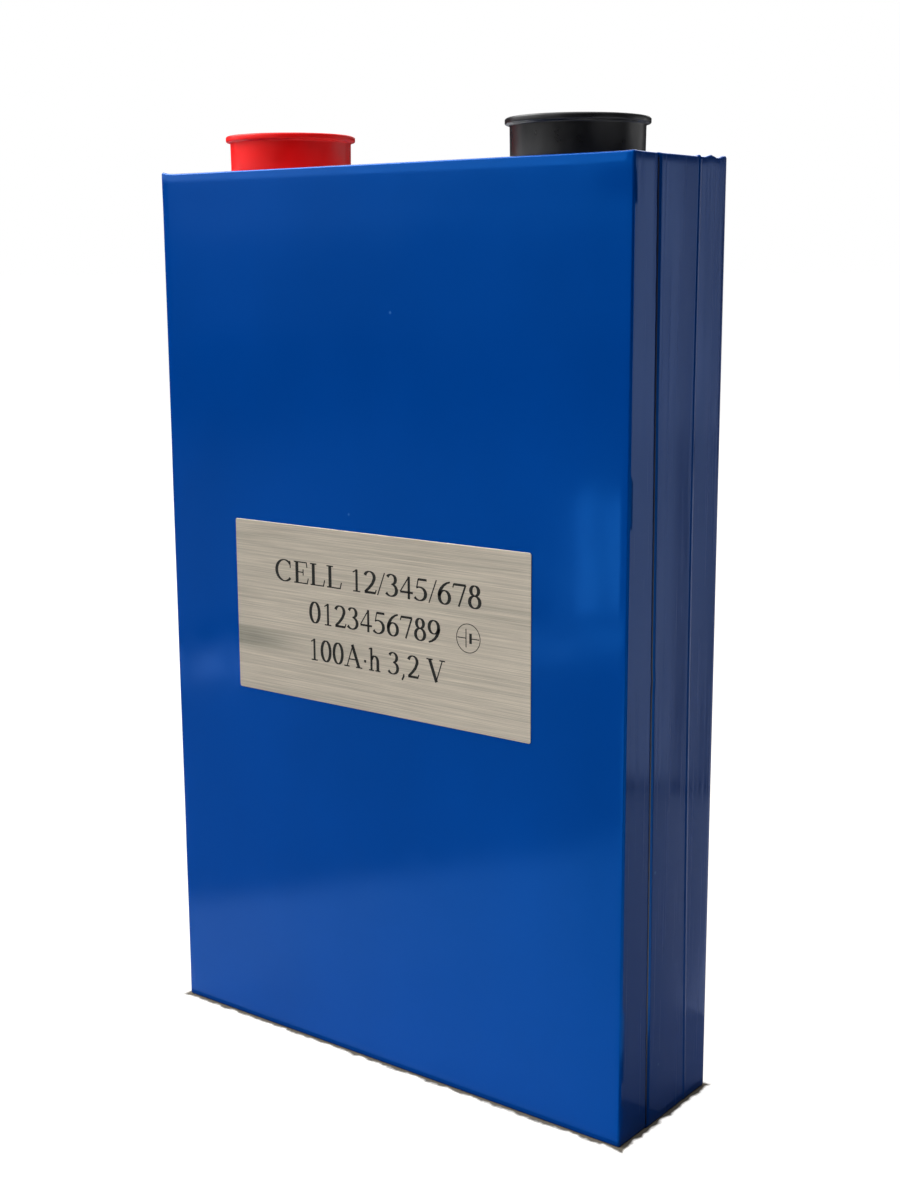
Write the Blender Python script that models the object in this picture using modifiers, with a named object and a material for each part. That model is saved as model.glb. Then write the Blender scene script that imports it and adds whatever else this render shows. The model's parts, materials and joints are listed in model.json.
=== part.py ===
"""A prismatic lithium battery cell: a film-wrapped aluminium can with two screw terminals on top.

Units are metres and +Z is up. The origin is the middle of the base, the label faces -Y,
the positive terminal is at -X and the negative terminal at +X. Everything is worked out
from the driving dimensions below, from the base upwards and from the skin inwards.
"""

import math

import bmesh
import bpy
from mathutils import Matrix, Vector

MM = 0.001

# Overall size
CELL_WIDTH = 130.0 * MM
CELL_DEPTH = 36.0 * MM
BODY_HEIGHT = 205.0 * MM
TERMINAL_HEIGHT = 207.0 * MM
TERMINAL_SPACING = 80.0 * MM

# Left between pieces that touch, or are bonded, on the real cell
GAP = 0.3 * MM

# Insulating film
FILM_THICKNESS = 0.4 * MM
FILM_CORNER_RADIUS = 1.5 * MM
FILM_EDGE_RADIUS = 0.75 * MM
FILM_LIP_WIDTH = 3.4 * MM
FLAP_THICKNESS = 0.2 * MM
FLAP_EDGE_FROM_FRONT = 9.3 * MM
FLAP_EDGE_SLANT = math.radians(0.84)

# Rating label
LABEL_WIDTH = 85.0 * MM
LABEL_HEIGHT = 40.7 * MM
LABEL_CENTRE_X = -1.0 * MM
LABEL_CENTRE_Z = 105.2 * MM
LABEL_THICKNESS = 0.15 * MM
LABEL_GAP = 0.1 * MM
LABEL_CORNER_RADIUS = 0.4 * MM

# Can and cover
CAN_WALL = 0.8 * MM
CAN_FLOOR = 1.2 * MM
CAN_INNER_RADIUS = 0.5 * MM
COVER_THICKNESS = 3.0 * MM

# Terminals
PAD_RADIUS = 10.0 * MM
PAD_CHAMFER = 0.3 * MM
NECK_RADIUS = 4.0 * MM
THREAD_HOLE_RADIUS = 2.5 * MM
THREAD_HOLE_DEPTH = 7.0 * MM
THREAD_CHAMFER = 0.5 * MM
RIVET_RADIUS = 6.0 * MM
RIVET_HEIGHT = 1.0 * MM
TERMINAL_RECESS_DEPTH = 0.8 * MM
INSULATOR_FLOOR = 0.8 * MM
INSULATOR_WALL = 2.4 * MM
INSULATOR_BELOW_PAD = 0.8 * MM
SEAL_SLEEVE_WALL = 0.9 * MM
SEAL_FLANGE_WIDTH = 3.2 * MM
SEAL_FLANGE_HEIGHT = 1.0 * MM

# Terminal caps
CAP_HEIGHT = 8.65 * MM
CAP_WALL = 1.0 * MM
CAP_TOP_WALL = 1.0 * MM
CAP_TAPER = 0.1 * MM
CAP_LIP_OVERHANG = 1.0 * MM
CAP_LIP_HEIGHT = 1.35 * MM
CAP_LIP_TOP_RADIUS = 0.45 * MM
CAP_LIP_LOW_RADIUS = 0.35 * MM
CAP_LIP_FILLET = 0.45 * MM
CAP_INNER_FILLET = 0.5 * MM

# Vent
VENT_LENGTH = 22.0 * MM
VENT_WIDTH = 12.0 * MM
VENT_LEDGE = 1.5 * MM
VENT_DISC_THICKNESS = 0.4 * MM
VENT_SEAT_DEPTH = 1.0 * MM
VENT_FILM_THICKNESS = 0.2 * MM
VENT_GUARD_DEPTH = 20.0 * MM
VENT_GUARD_MARGIN = 2.6 * MM
VENT_SLOT_COUNT = 5
VENT_SLOT_WIDTH = 2.0 * MM
VENT_SLOT_LENGTH = 10.0 * MM

# Filling hole
FILL_HOLE_RADIUS = 1.5 * MM
FILL_SEAT_RADIUS = 4.0 * MM
FILL_SEAT_DEPTH = 1.6 * MM
PLUG_HEAD_RADIUS = 2.8 * MM
PLUG_HEAD_HEIGHT = 0.4 * MM
PLUG_REACH = 0.6 * MM
FILL_PATH_CLEARANCE = 1.2 * MM

# Current path below the cover
INNER_INSULATOR_THICKNESS = 1.1 * MM
INNER_INSULATOR_END_MARGIN = 3.0 * MM
INNER_INSULATOR_SIDE_MARGIN = 1.5 * MM
COLLECTOR_THICKNESS = 1.1 * MM
COLLECTOR_MARGIN = 1.7 * MM
COLLECTOR_FROM_FILL = 3.2 * MM
PLATE_CORNER_RADIUS = 1.5 * MM
TAB_THICKNESS = 0.6 * MM
TAB_BEND_RADIUS = 1.0 * MM
TAB_CLEARANCE = 0.9 * MM
TAB_MARGIN = 0.6 * MM

# Wound core
HEADROOM = 7.5 * MM
TRAY_THICKNESS = 1.0 * MM
TRAY_HOLE_COUNT = 5
TRAY_HOLE_RADIUS = 2.5 * MM
TRAY_HOLE_PITCH = 22.0 * MM
BAG_WALL = 0.2 * MM
TAPE_THICKNESS = 0.2 * MM
BAND_HEIGHT = 20.0 * MM
BAND_FROM_ENDS = 30.0 * MM
END_TAPE_WIDTH = 40.0 * MM
END_TAPE_HEIGHT = 60.0 * MM
CORE_SLIT_WIDTH = 0.8 * MM
CORE_SLIT_MARGIN = 2.0 * MM

# Facets
TURN_STEPS = 48
SMALL_TURN_STEPS = 32
ARC_STEPS = 3
END_STEPS = 12
SHARP_ANGLE = math.radians(35.0)

# Points nearer than this become one
WELD = 0.001 * MM

# Levels, from the base upwards
CAN_LOW = FILM_THICKNESS + GAP
CAN_TOP = BODY_HEIGHT - FILM_THICKNESS - GAP
COVER_LOW = CAN_TOP - COVER_THICKNESS
TRAY_LOW = CAN_LOW + CAN_FLOOR + GAP
BAG_LOW = TRAY_LOW + TRAY_THICKNESS + GAP
ROLL_LOW = BAG_LOW + BAG_WALL + GAP
INSULATOR_LOW = CAN_TOP - TERMINAL_RECESS_DEPTH + GAP
PAD_LOW = INSULATOR_LOW + INSULATOR_FLOOR + GAP
SEAL_LOW = COVER_LOW - GAP - SEAL_FLANGE_HEIGHT
INNER_INSULATOR_TOP = COVER_LOW - GAP
INNER_INSULATOR_LOW = INNER_INSULATOR_TOP - INNER_INSULATOR_THICKNESS
COLLECTOR_TOP = min(SEAL_LOW, INNER_INSULATOR_LOW) - GAP
COLLECTOR_LOW = COLLECTOR_TOP - COLLECTOR_THICKNESS
RIVET_TOP = COLLECTOR_LOW - GAP
RIVET_LOW = RIVET_TOP - RIVET_HEIGHT
ROLL_TOP = RIVET_LOW - HEADROOM
TAB_TOP = COLLECTOR_LOW - GAP
CAP_LOW = CAN_TOP + GAP

# Half widths and half depths, from the skin inwards
FILM_HALF = Vector((CELL_WIDTH / 2, CELL_DEPTH / 2))
CAN_HALF = FILM_HALF - Vector((1, 1)) * (FILM_THICKNESS + GAP)
CAN_INNER_HALF = CAN_HALF - Vector((1, 1)) * CAN_WALL
COVER_HALF = CAN_INNER_HALF - Vector((1, 1)) * GAP
BAG_HALF = COVER_HALF
BAG_INNER_HALF = BAG_HALF - Vector((1, 1)) * BAG_WALL
TAPE_HALF = BAG_INNER_HALF - Vector((1, 1)) * GAP
TAPE_INNER_HALF = TAPE_HALF - Vector((1, 1)) * TAPE_THICKNESS
CORE_HALF = TAPE_INNER_HALF - Vector((1, 1)) * GAP

# Radii and places that follow from the ones above
TERMINAL_X = TERMINAL_SPACING / 2
INSULATOR_RADIUS = PAD_RADIUS + GAP + INSULATOR_WALL
RECESS_RADIUS = INSULATOR_RADIUS + GAP
CAP_INNER_RADIUS = INSULATOR_RADIUS + GAP
CAP_RADIUS = CAP_INNER_RADIUS + CAP_WALL
SEAL_INNER_RADIUS = NECK_RADIUS + GAP
SEAL_SLEEVE_RADIUS = SEAL_INNER_RADIUS + SEAL_SLEEVE_WALL
SEAL_FLANGE_RADIUS = SEAL_INNER_RADIUS + SEAL_FLANGE_WIDTH
COVER_HOLE_RADIUS = SEAL_SLEEVE_RADIUS + GAP
GUARD_HALF_LENGTH = VENT_LENGTH / 2 + VENT_GUARD_MARGIN
FILL_X = -(VENT_LENGTH / 2 + TERMINAL_X - INSULATOR_RADIUS) / 2


# Outlines ---------------------------------------------------------------------------------


def arc(x, y, radius, start, end, steps=ARC_STEPS):
    """Points along an arc about (x, y), from angle start to angle end in degrees."""
    points = []
    for step in range(steps + 1):
        angle = math.radians(start + (end - start) * step / steps)
        points.append((x + radius * math.cos(angle), y + radius * math.sin(angle)))
    return points


def circle(x, y, radius, steps=SMALL_TURN_STEPS):
    return arc(x, y, radius, 0, 360, steps)[:-1]


def rounded_rectangle(left, right, front, back, radius, steps=ARC_STEPS):
    return (
        arc(right - radius, back - radius, radius, 0, 90, steps)
        + arc(left + radius, back - radius, radius, 90, 180, steps)
        + arc(left + radius, front + radius, radius, 180, 270, steps)
        + arc(right - radius, front + radius, radius, 270, 360, steps)
    )


def obround(x, y, length, width):
    """A slot with round ends, along X."""
    reach = (length - width) / 2
    return arc(x + reach, y, width / 2, -90, 90, END_STEPS) + arc(
        x - reach, y, width / 2, 90, 270, END_STEPS
    )


def side_span(side, near, far):
    """The x values, lower first, of a piece that reaches from near to far of the middle on one side."""
    return sorted((side * near, side * far))


# Making and joining shapes ----------------------------------------------------------------


def clear_scene():
    for thing in list(bpy.data.objects):
        bpy.data.objects.remove(thing)


def new_collection(name):
    collection = bpy.data.collections.new(name)
    bpy.context.scene.collection.children.link(collection)
    return collection


def linear(level):
    """One sRGB channel, 0 to 255, as the linear value that a shader takes."""
    share = level / 255
    return share / 12.92 if share <= 0.04045 else ((share + 0.055) / 1.055) ** 2.4


def material(name, colour, roughness, metallic=0.0):
    made = bpy.data.materials.get(name)
    if made:
        return made
    made = bpy.data.materials.new(name)
    made.use_nodes = True
    shader = made.node_tree.nodes["Principled BSDF"]
    shader.inputs["Base Color"].default_value = (*map(linear, colour), 1.0)
    shader.inputs["Roughness"].default_value = roughness
    shader.inputs["Metallic"].default_value = metallic
    return made


def mesh_object(name, mesh):
    made = bpy.data.objects.new(name, mesh)
    PARTS.objects.link(made)
    return made


def bevel_edges(shape, edges, radius):
    bmesh.ops.bevel(
        shape,
        geom=edges,
        offset=radius,
        offset_type="OFFSET",
        segments=ARC_STEPS,
        profile=0.5,
        affect="EDGES",
    )


def box(name, low, high, radius=0.0, axis=2, rim=0.0):
    """A box between two corners. radius rounds its edges along axis, and rim its end faces' edges."""
    low = Vector(low)
    high = Vector(high)
    shape = bmesh.new()
    bmesh.ops.create_cube(shape, size=1.0)
    bmesh.ops.scale(shape, vec=high - low, verts=shape.verts)
    bmesh.ops.translate(shape, vec=(low + high) / 2, verts=shape.verts)
    span = high[axis] - low[axis]

    def rise(edge):
        return abs(edge.verts[0].co[axis] - edge.verts[1].co[axis])

    if radius:
        bevel_edges(shape, [edge for edge in shape.edges if rise(edge) > span / 2], radius)
    if rim:
        bevel_edges(shape, [edge for edge in shape.edges if rise(edge) < span / 2], rim)
    mesh = bpy.data.meshes.new(name)
    shape.to_mesh(mesh)
    shape.free()
    return mesh_object(name, mesh)


def drawn_curve(name, lines, width, cyclic):
    """A flat curve in millimetres, since filling one in metres blurs small features. width is its depth."""
    curve = bpy.data.curves.new(name, "CURVE")
    curve.dimensions = "2D"
    curve.fill_mode = "BOTH" if cyclic else "NONE"
    curve.extrude = width / MM / 2
    for line in lines:
        spline = curve.splines.new("POLY")
        spline.points.add(len(line) - 1)
        for point, (x, y) in zip(spline.points, line):
            point.co = (x / MM, y / MM, 0.0, 1.0)
        spline.use_cyclic_u = cyclic
    return curve


def weld(mesh):
    """Joins points that coincide, and turns the faces outwards."""
    shape = bmesh.new()
    shape.from_mesh(mesh)
    bmesh.ops.remove_doubles(shape, verts=shape.verts, dist=WELD)
    bmesh.ops.recalc_face_normals(shape, faces=shape.faces)
    shape.to_mesh(mesh)
    shape.free()


def curve_to_mesh(name, curve, matrix):
    """The curve's surface as a mesh object in metres, with its caps welded to its sides."""
    drawn = bpy.data.objects.new(name + "_outline", curve)
    PARTS.objects.link(drawn)
    graph = bpy.context.evaluated_depsgraph_get()
    mesh = bpy.data.meshes.new_from_object(drawn.evaluated_get(graph))
    bpy.data.objects.remove(drawn)
    mesh.name = name
    mesh.transform(matrix @ Matrix.Scale(MM, 4))
    weld(mesh)
    return mesh_object(name, mesh)


def plate(name, outlines, low, high):
    """A flat plate between two levels. The first outline is its edge, and the others are holes."""
    curve = drawn_curve(name, outlines, high - low, cyclic=True)
    return curve_to_mesh(name, curve, Matrix.Translation((0, 0, (low + high) / 2)))


def strip(name, path, left, right, thickness):
    """A bent strip from x = left to x = right, whose middle line follows the (y, z) points of path."""
    curve = drawn_curve(name, [path], right - left, cyclic=False)
    upright = Matrix(((0, 0, 1, 0), (1, 0, 0, 0), (0, 1, 0, 0), (0, 0, 0, 1)))
    made = curve_to_mesh(name, curve, Matrix.Translation(((left + right) / 2, 0, 0)) @ upright)
    shell = made.modifiers.new("Thickness", "SOLIDIFY")
    shell.thickness = thickness
    shell.offset = 0.0
    shell.use_even_offset = True
    return made


def turned(name, profile, place, steps=TURN_STEPS, ring=False):
    """A turned shape about the upright line through place; profile is (radius, height) down its outside."""
    edges = [(point, point + 1) for point in range(len(profile) - 1)]
    if ring:
        edges.append((len(profile) - 1, 0))
    mesh = bpy.data.meshes.new(name)
    mesh.from_pydata([(radius, 0.0, height) for radius, height in profile], edges, [])
    made = mesh_object(name, mesh)
    made.location = place
    screw = made.modifiers.new("Turn", "SCREW")
    screw.axis = "Z"
    screw.steps = steps
    screw.render_steps = steps
    screw.use_merge_vertices = True
    screw.merge_threshold = WELD
    return made


def cylinder(name, x, y, radius, low, high, steps=TURN_STEPS):
    profile = [(0.0, high - low), (radius, high - low), (radius, 0.0), (0.0, 0.0)]
    return turned(name, profile, (x, y, low), steps)


def cut(part, *tools):
    """Takes the tools' shapes out of the part in one go, and keeps the tools as hidden wire shapes."""
    tray = bpy.data.collections.new(part.name + "_cutters")
    CUTTERS.children.link(tray)
    for tool in tools:
        PARTS.objects.unlink(tool)
        tray.objects.link(tool)
        tool.hide_render = True
        tool.display_type = "WIRE"
    removal = part.modifiers.new("Cut", "BOOLEAN")
    removal.operation = "DIFFERENCE"
    removal.solver = "EXACT"
    removal.operand_type = "COLLECTION"
    removal.collection = tray


def finish(part, look, parent):
    """Settles the part's mesh, shades it smooth between sharp edges, and gives it a look and a parent."""
    graph = bpy.context.evaluated_depsgraph_get()
    settled = bpy.data.meshes.new_from_object(part.evaluated_get(graph))
    part.modifiers.clear()
    part.data = settled
    settled.name = part.name
    weld(settled)
    settled.shade_smooth()
    settled.set_sharp_from_angle(angle=SHARP_ANGLE)
    settled.materials.clear()
    settled.materials.append(look)
    part.parent = parent


def empty(name, place, parent=None):
    made = bpy.data.objects.new(name, None)
    made.location = place
    made.parent = parent
    PARTS.objects.link(made)
    return made


# Looks ------------------------------------------------------------------------------------


def blue_film():
    return material("blue_film", (0, 57, 138), 0.35)


def label_foil():
    return material("label_foil", (190, 180, 165), 0.4, 0.6)


def aluminium():
    return material("aluminium", (205, 207, 210), 0.35, 1.0)


def copper():
    return material("copper", (200, 120, 85), 0.35, 1.0)


def nickel_plate():
    return material("nickel_plate", (196, 192, 184), 0.25, 1.0)


def black_plastic():
    return material("black_plastic", (24, 24, 26), 0.4)


def red_plastic():
    return material("red_plastic", (196, 26, 20), 0.35)


def seal_rubber():
    return material("seal_rubber", (30, 40, 70), 0.6)


def clear_film():
    return material("clear_film", (225, 230, 235), 0.2)


def wound_foil():
    return material("wound_foil", (200, 200, 198), 0.55, 0.2)


def green_tape():
    return material("green_tape", (40, 120, 70), 0.45)


# Skin -------------------------------------------------------------------------------------


def insulation_film(parent):
    """The wrapped film: a closed bottom, four sides, lips folded over the top, and a glued side flap."""
    wide, deep = FILM_HALF
    film = box(
        "insulation_film",
        (-wide, -deep, 0.0),
        (wide, deep, BODY_HEIGHT),
        radius=FILM_CORNER_RADIUS,
        rim=FILM_EDGE_RADIUS,
    )
    above = BODY_HEIGHT + FILM_LIP_WIDTH
    inside = box(
        "film_inside",
        (FILM_THICKNESS - wide, FILM_THICKNESS - deep, FILM_THICKNESS),
        (wide - FILM_THICKNESS, deep - FILM_THICKNESS, BODY_HEIGHT - FILM_THICKNESS),
        radius=FILM_CORNER_RADIUS - FILM_THICKNESS,
    )
    mouth = box(
        "film_mouth",
        (FILM_LIP_WIDTH - wide, FILM_LIP_WIDTH - deep, BODY_HEIGHT / 2),
        (wide - FILM_LIP_WIDTH, deep - FILM_LIP_WIDTH, above),
        radius=FILM_CORNER_RADIUS,
    )
    clearances = [
        cylinder(f"{end}_cap_clearance", side * TERMINAL_X, 0.0, CAP_RADIUS + GAP, CAN_TOP, above)
        for side, end in ((-1, "positive"), (1, "negative"))
    ]
    cut(film, inside, mouth, *clearances, single_layer_strip())
    finish(film, blue_film(), parent)


def single_layer_strip():
    """Takes the outer layer away in front of the side flap's slanted free edge."""
    reach = CELL_DEPTH
    strip_box = box(
        "film_single_layer",
        (-FLAP_THICKNESS, -reach, -BODY_HEIGHT),
        (reach, 0.0, BODY_HEIGHT),
    )
    strip_box.location = (
        CELL_WIDTH / 2,
        FLAP_EDGE_FROM_FRONT - CELL_DEPTH / 2,
        BODY_HEIGHT / 2,
    )
    strip_box.rotation_euler = (FLAP_EDGE_SLANT, 0.0, 0.0)
    return strip_box


def rating_label(parent):
    back = -CELL_DEPTH / 2 - LABEL_GAP
    label = box(
        "rating_label",
        (
            LABEL_CENTRE_X - LABEL_WIDTH / 2,
            back - LABEL_THICKNESS,
            LABEL_CENTRE_Z - LABEL_HEIGHT / 2,
        ),
        (LABEL_CENTRE_X + LABEL_WIDTH / 2, back, LABEL_CENTRE_Z + LABEL_HEIGHT / 2),
        radius=LABEL_CORNER_RADIUS,
        axis=1,
    )
    finish(label, label_foil(), parent)


# Can and cover ----------------------------------------------------------------------------


def open_box(name, half, inner_half, low, floor, high, radius, inner_radius):
    """An open-topped box with rounded upright edges."""
    made = box(name, (-half.x, -half.y, low), (half.x, half.y, high), radius=radius)
    inside = box(
        name + "_inside",
        (-inner_half.x, -inner_half.y, low + floor),
        (inner_half.x, inner_half.y, high + floor),
        radius=inner_radius,
    )
    cut(made, inside)
    return made


def cell_can(parent):
    can = open_box(
        "cell_can",
        CAN_HALF,
        CAN_INNER_HALF,
        CAN_LOW,
        CAN_FLOOR,
        CAN_TOP,
        FILM_CORNER_RADIUS - FILM_THICKNESS - GAP,
        CAN_INNER_RADIUS,
    )
    finish(can, aluminium(), parent)


def cover_plate(parent):
    """The cover, with its terminal holes and recesses, vent opening and filling hole."""
    wide, deep = COVER_HALF
    above = CAN_TOP + COVER_THICKNESS
    below = COVER_LOW - COVER_THICKNESS
    cover = box(
        "cover_plate", (-wide, -deep, COVER_LOW), (wide, deep, CAN_TOP), radius=CAN_INNER_RADIUS
    )
    recess_low = CAN_TOP - TERMINAL_RECESS_DEPTH
    fill_seat = CAN_TOP - FILL_SEAT_DEPTH
    film_seat = CAN_TOP - VENT_FILM_THICKNESS - GAP
    opening = obround(0.0, 0.0, VENT_LENGTH, VENT_WIDTH)
    cut(
        cover,
        cylinder("positive_hole", -TERMINAL_X, 0.0, COVER_HOLE_RADIUS, below, above),
        cylinder("positive_recess", -TERMINAL_X, 0.0, RECESS_RADIUS, recess_low, above),
        cylinder("negative_hole", TERMINAL_X, 0.0, COVER_HOLE_RADIUS, below, above),
        cylinder("negative_recess", TERMINAL_X, 0.0, RECESS_RADIUS, recess_low, above),
        cylinder("fill_hole", FILL_X, 0.0, FILL_HOLE_RADIUS, below, above),
        cylinder("fill_seat", FILL_X, 0.0, FILL_SEAT_RADIUS, fill_seat, above),
        plate("vent_opening", [opening], below, above),
        vent_ledge("vent_disc_seat", GAP, below, COVER_LOW + VENT_SEAT_DEPTH),
        vent_ledge("vent_film_seat", GAP, film_seat, above),
    )
    finish(cover, aluminium(), parent)


def vent_ledge(name, clearance, low, high):
    """A plate of the vent opening's shape, one ledge larger all round."""
    grown = 2 * (VENT_LEDGE + clearance)
    outline = obround(0.0, 0.0, VENT_LENGTH + grown, VENT_WIDTH + grown)
    return plate(name, [outline], low, high)


def vent(parent):
    disc_top = COVER_LOW + VENT_SEAT_DEPTH - GAP
    disc = vent_ledge("vent_disc", 0.0, disc_top - VENT_DISC_THICKNESS, disc_top)
    finish(disc, aluminium(), parent)
    cover_film = vent_ledge("vent_cover_film", 0.0, CAN_TOP - VENT_FILM_THICKNESS, CAN_TOP)
    finish(cover_film, clear_film(), parent)
    deep = VENT_GUARD_DEPTH / 2
    pitch = VENT_LENGTH / VENT_SLOT_COUNT
    slots = []
    for slot in range(VENT_SLOT_COUNT):
        x = pitch * (slot - (VENT_SLOT_COUNT - 1) / 2)
        left = x - VENT_SLOT_WIDTH / 2
        right = x + VENT_SLOT_WIDTH / 2
        front = -VENT_SLOT_LENGTH / 2
        slots.append(rounded_rectangle(left, right, front, -front, VENT_SLOT_WIDTH / 4))
    edge = rounded_rectangle(
        -GUARD_HALF_LENGTH, GUARD_HALF_LENGTH, -deep, deep, PLATE_CORNER_RADIUS
    )
    guard = plate("vent_guard", [edge, *slots], INNER_INSULATOR_LOW, INNER_INSULATOR_TOP)
    finish(guard, black_plastic(), parent)


def filling_hole(parent):
    """The rubber plug in the filling hole, and the disc welded over it."""
    head_low = CAN_TOP - FILL_SEAT_DEPTH + GAP
    head_top = head_low + PLUG_HEAD_HEIGHT
    shank = FILL_HOLE_RADIUS - GAP
    bottom = COVER_LOW - PLUG_REACH
    plug = turned(
        "fill_plug",
        [
            (0.0, head_top - bottom),
            (PLUG_HEAD_RADIUS, head_top - bottom),
            (PLUG_HEAD_RADIUS, head_low - bottom),
            (shank, head_low - bottom),
            (shank, 0.0),
            (0.0, 0.0),
        ],
        (FILL_X, 0.0, bottom),
        SMALL_TURN_STEPS,
    )
    finish(plug, seal_rubber(), parent)
    seal = cylinder(
        "fill_seal_cap", FILL_X, 0.0, FILL_SEAT_RADIUS - GAP, head_top + GAP, CAN_TOP
    )
    finish(seal, aluminium(), parent)


# Terminals --------------------------------------------------------------------------------


def terminal_pole(end, x, metal, parent):
    """The riveted terminal: a round pad with a blind threaded hole, a neck and a rivet head."""
    top = TERMINAL_HEIGHT - RIVET_LOW
    pad_low = PAD_LOW - RIVET_LOW
    rivet_top = RIVET_TOP - RIVET_LOW
    hole_low = top - THREAD_HOLE_DEPTH
    profile = [
        (0.0, hole_low),
        (THREAD_HOLE_RADIUS, hole_low),
        (THREAD_HOLE_RADIUS, top - THREAD_CHAMFER),
        (THREAD_HOLE_RADIUS + THREAD_CHAMFER, top),
        (PAD_RADIUS - PAD_CHAMFER, top),
        (PAD_RADIUS, top - PAD_CHAMFER),
        (PAD_RADIUS, pad_low),
        (NECK_RADIUS, pad_low),
        (NECK_RADIUS, rivet_top),
        (RIVET_RADIUS, rivet_top),
        (RIVET_RADIUS, 0.0),
        (0.0, 0.0),
    ]
    pole = turned(f"{end}_pole", profile, (x, 0.0, RIVET_LOW))
    finish(pole, metal, parent)


def outer_insulator(end, side, parent):
    """The plastic cup that holds the pad clear of the cover, and never reaches past the cover's end."""
    rim_top = TERMINAL_HEIGHT - INSULATOR_BELOW_PAD - INSULATOR_LOW
    rim_inside = PAD_RADIUS + GAP
    profile = [
        (INSULATOR_RADIUS, rim_top),
        (INSULATOR_RADIUS, 0.0),
        (SEAL_INNER_RADIUS, 0.0),
        (SEAL_INNER_RADIUS, INSULATOR_FLOOR),
        (rim_inside, INSULATOR_FLOOR),
        (rim_inside, rim_top),
    ]
    place = (side * TERMINAL_X, 0.0, INSULATOR_LOW)
    cup = turned(f"{end}_outer_insulator", profile, place, ring=True)
    left, right = side_span(side, COVER_HALF.x, COVER_HALF.x + 2 * INSULATOR_RADIUS)
    deep = COVER_HALF.y
    cut(cup, box(f"{end}_past_cover", (left, -deep, COVER_LOW), (right, deep, TERMINAL_HEIGHT)))
    finish(cup, black_plastic(), parent)


def seal_ring(end, x, parent):
    """The gasket: a flange under the cover and a sleeve up through its hole."""
    sleeve_top = INSULATOR_LOW - GAP - SEAL_LOW
    profile = [
        (SEAL_SLEEVE_RADIUS, sleeve_top),
        (SEAL_SLEEVE_RADIUS, SEAL_FLANGE_HEIGHT),
        (SEAL_FLANGE_RADIUS, SEAL_FLANGE_HEIGHT),
        (SEAL_FLANGE_RADIUS, 0.0),
        (SEAL_INNER_RADIUS, 0.0),
        (SEAL_INNER_RADIUS, sleeve_top),
    ]
    ring = turned(f"{end}_seal_ring", profile, (x, 0.0, SEAL_LOW), SMALL_TURN_STEPS, ring=True)
    finish(ring, seal_rubber(), parent)


def inner_insulator(end, side, parent):
    """The plastic plate between cover and collector, open round the seal and below the filling hole."""
    near = GUARD_HALF_LENGTH + GAP
    left, right = side_span(side, near, COVER_HALF.x - INNER_INSULATOR_END_MARGIN)
    deep = COVER_HALF.y - INNER_INSULATOR_SIDE_MARGIN
    outlines = [
        rounded_rectangle(left, right, -deep, deep, PLATE_CORNER_RADIUS),
        circle(side * TERMINAL_X, 0.0, SEAL_FLANGE_RADIUS + GAP),
    ]
    if side * FILL_X > 0:
        outlines.append(circle(FILL_X, 0.0, FILL_HOLE_RADIUS + FILL_PATH_CLEARANCE))
    sheet = plate(f"{end}_inner_insulator", outlines, INNER_INSULATOR_LOW, INNER_INSULATOR_TOP)
    finish(sheet, black_plastic(), parent)


def collector_limits():
    near = abs(FILL_X) + COLLECTOR_FROM_FILL
    far = COVER_HALF.x - INNER_INSULATOR_END_MARGIN - COLLECTOR_MARGIN
    deep = COVER_HALF.y - INNER_INSULATOR_SIDE_MARGIN - COLLECTOR_MARGIN
    return near, far, deep


def collector(end, side, metal, parent):
    """The plate that carries the current from the tabs to the pole."""
    near, far, deep = collector_limits()
    left, right = side_span(side, near, far)
    sheet = plate(
        f"{end}_collector",
        [
            rounded_rectangle(left, right, -deep, deep, PLATE_CORNER_RADIUS),
            circle(side * TERMINAL_X, 0.0, NECK_RADIUS + GAP),
        ],
        COLLECTOR_LOW,
        COLLECTOR_TOP,
    )
    finish(sheet, metal, parent)


def tab_stack(end, side, roll, facing, metal, parent):
    """A stack of foil tabs: up from the roll, then bent outwards flat under the collector."""
    near, far, deep = collector_limits()
    left, right = side_span(side, near + TAB_MARGIN, far - TAB_MARGIN)
    rise_y = RIVET_RADIUS + TAB_CLEARANCE + TAB_THICKNESS / 2
    flat_z = TAB_TOP - TAB_THICKNESS / 2
    bend = arc(rise_y + TAB_BEND_RADIUS, flat_z - TAB_BEND_RADIUS, TAB_BEND_RADIUS, 180, 90)
    path = [(rise_y, ROLL_TOP + GAP), *bend, (deep - TAB_MARGIN, flat_z)]
    stack = strip(
        f"{end}_tabs_{roll}",
        [(facing * y, z) for y, z in path],
        left,
        right,
        TAB_THICKNESS,
    )
    finish(stack, metal, parent)


def cap_profile():
    """A push-on cap: an open skirt, a closed top, and a grip lip that overhangs the skirt."""
    lip = CAP_RADIUS + CAP_LIP_OVERHANG
    lip_low = CAP_HEIGHT - CAP_LIP_HEIGHT
    inner_top = CAP_HEIGHT - CAP_TOP_WALL
    top_edge = arc(
        lip - CAP_LIP_TOP_RADIUS, CAP_HEIGHT - CAP_LIP_TOP_RADIUS, CAP_LIP_TOP_RADIUS, 90, 0
    )
    low_edge = arc(
        lip - CAP_LIP_LOW_RADIUS, lip_low + CAP_LIP_LOW_RADIUS, CAP_LIP_LOW_RADIUS, 0, -90
    )
    fillet = arc(
        CAP_RADIUS + CAP_LIP_FILLET, lip_low - CAP_LIP_FILLET, CAP_LIP_FILLET, 90, 180
    )
    inside = arc(
        CAP_INNER_RADIUS - CAP_INNER_FILLET,
        inner_top - CAP_INNER_FILLET,
        CAP_INNER_FILLET,
        0,
        90,
    )
    return [
        (0.0, CAP_HEIGHT),
        *top_edge,
        *low_edge,
        *fillet,
        (CAP_RADIUS - CAP_TAPER, 0.0),
        (CAP_INNER_RADIUS, 0.0),
        *inside,
        (0.0, inner_top),
    ]


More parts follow.
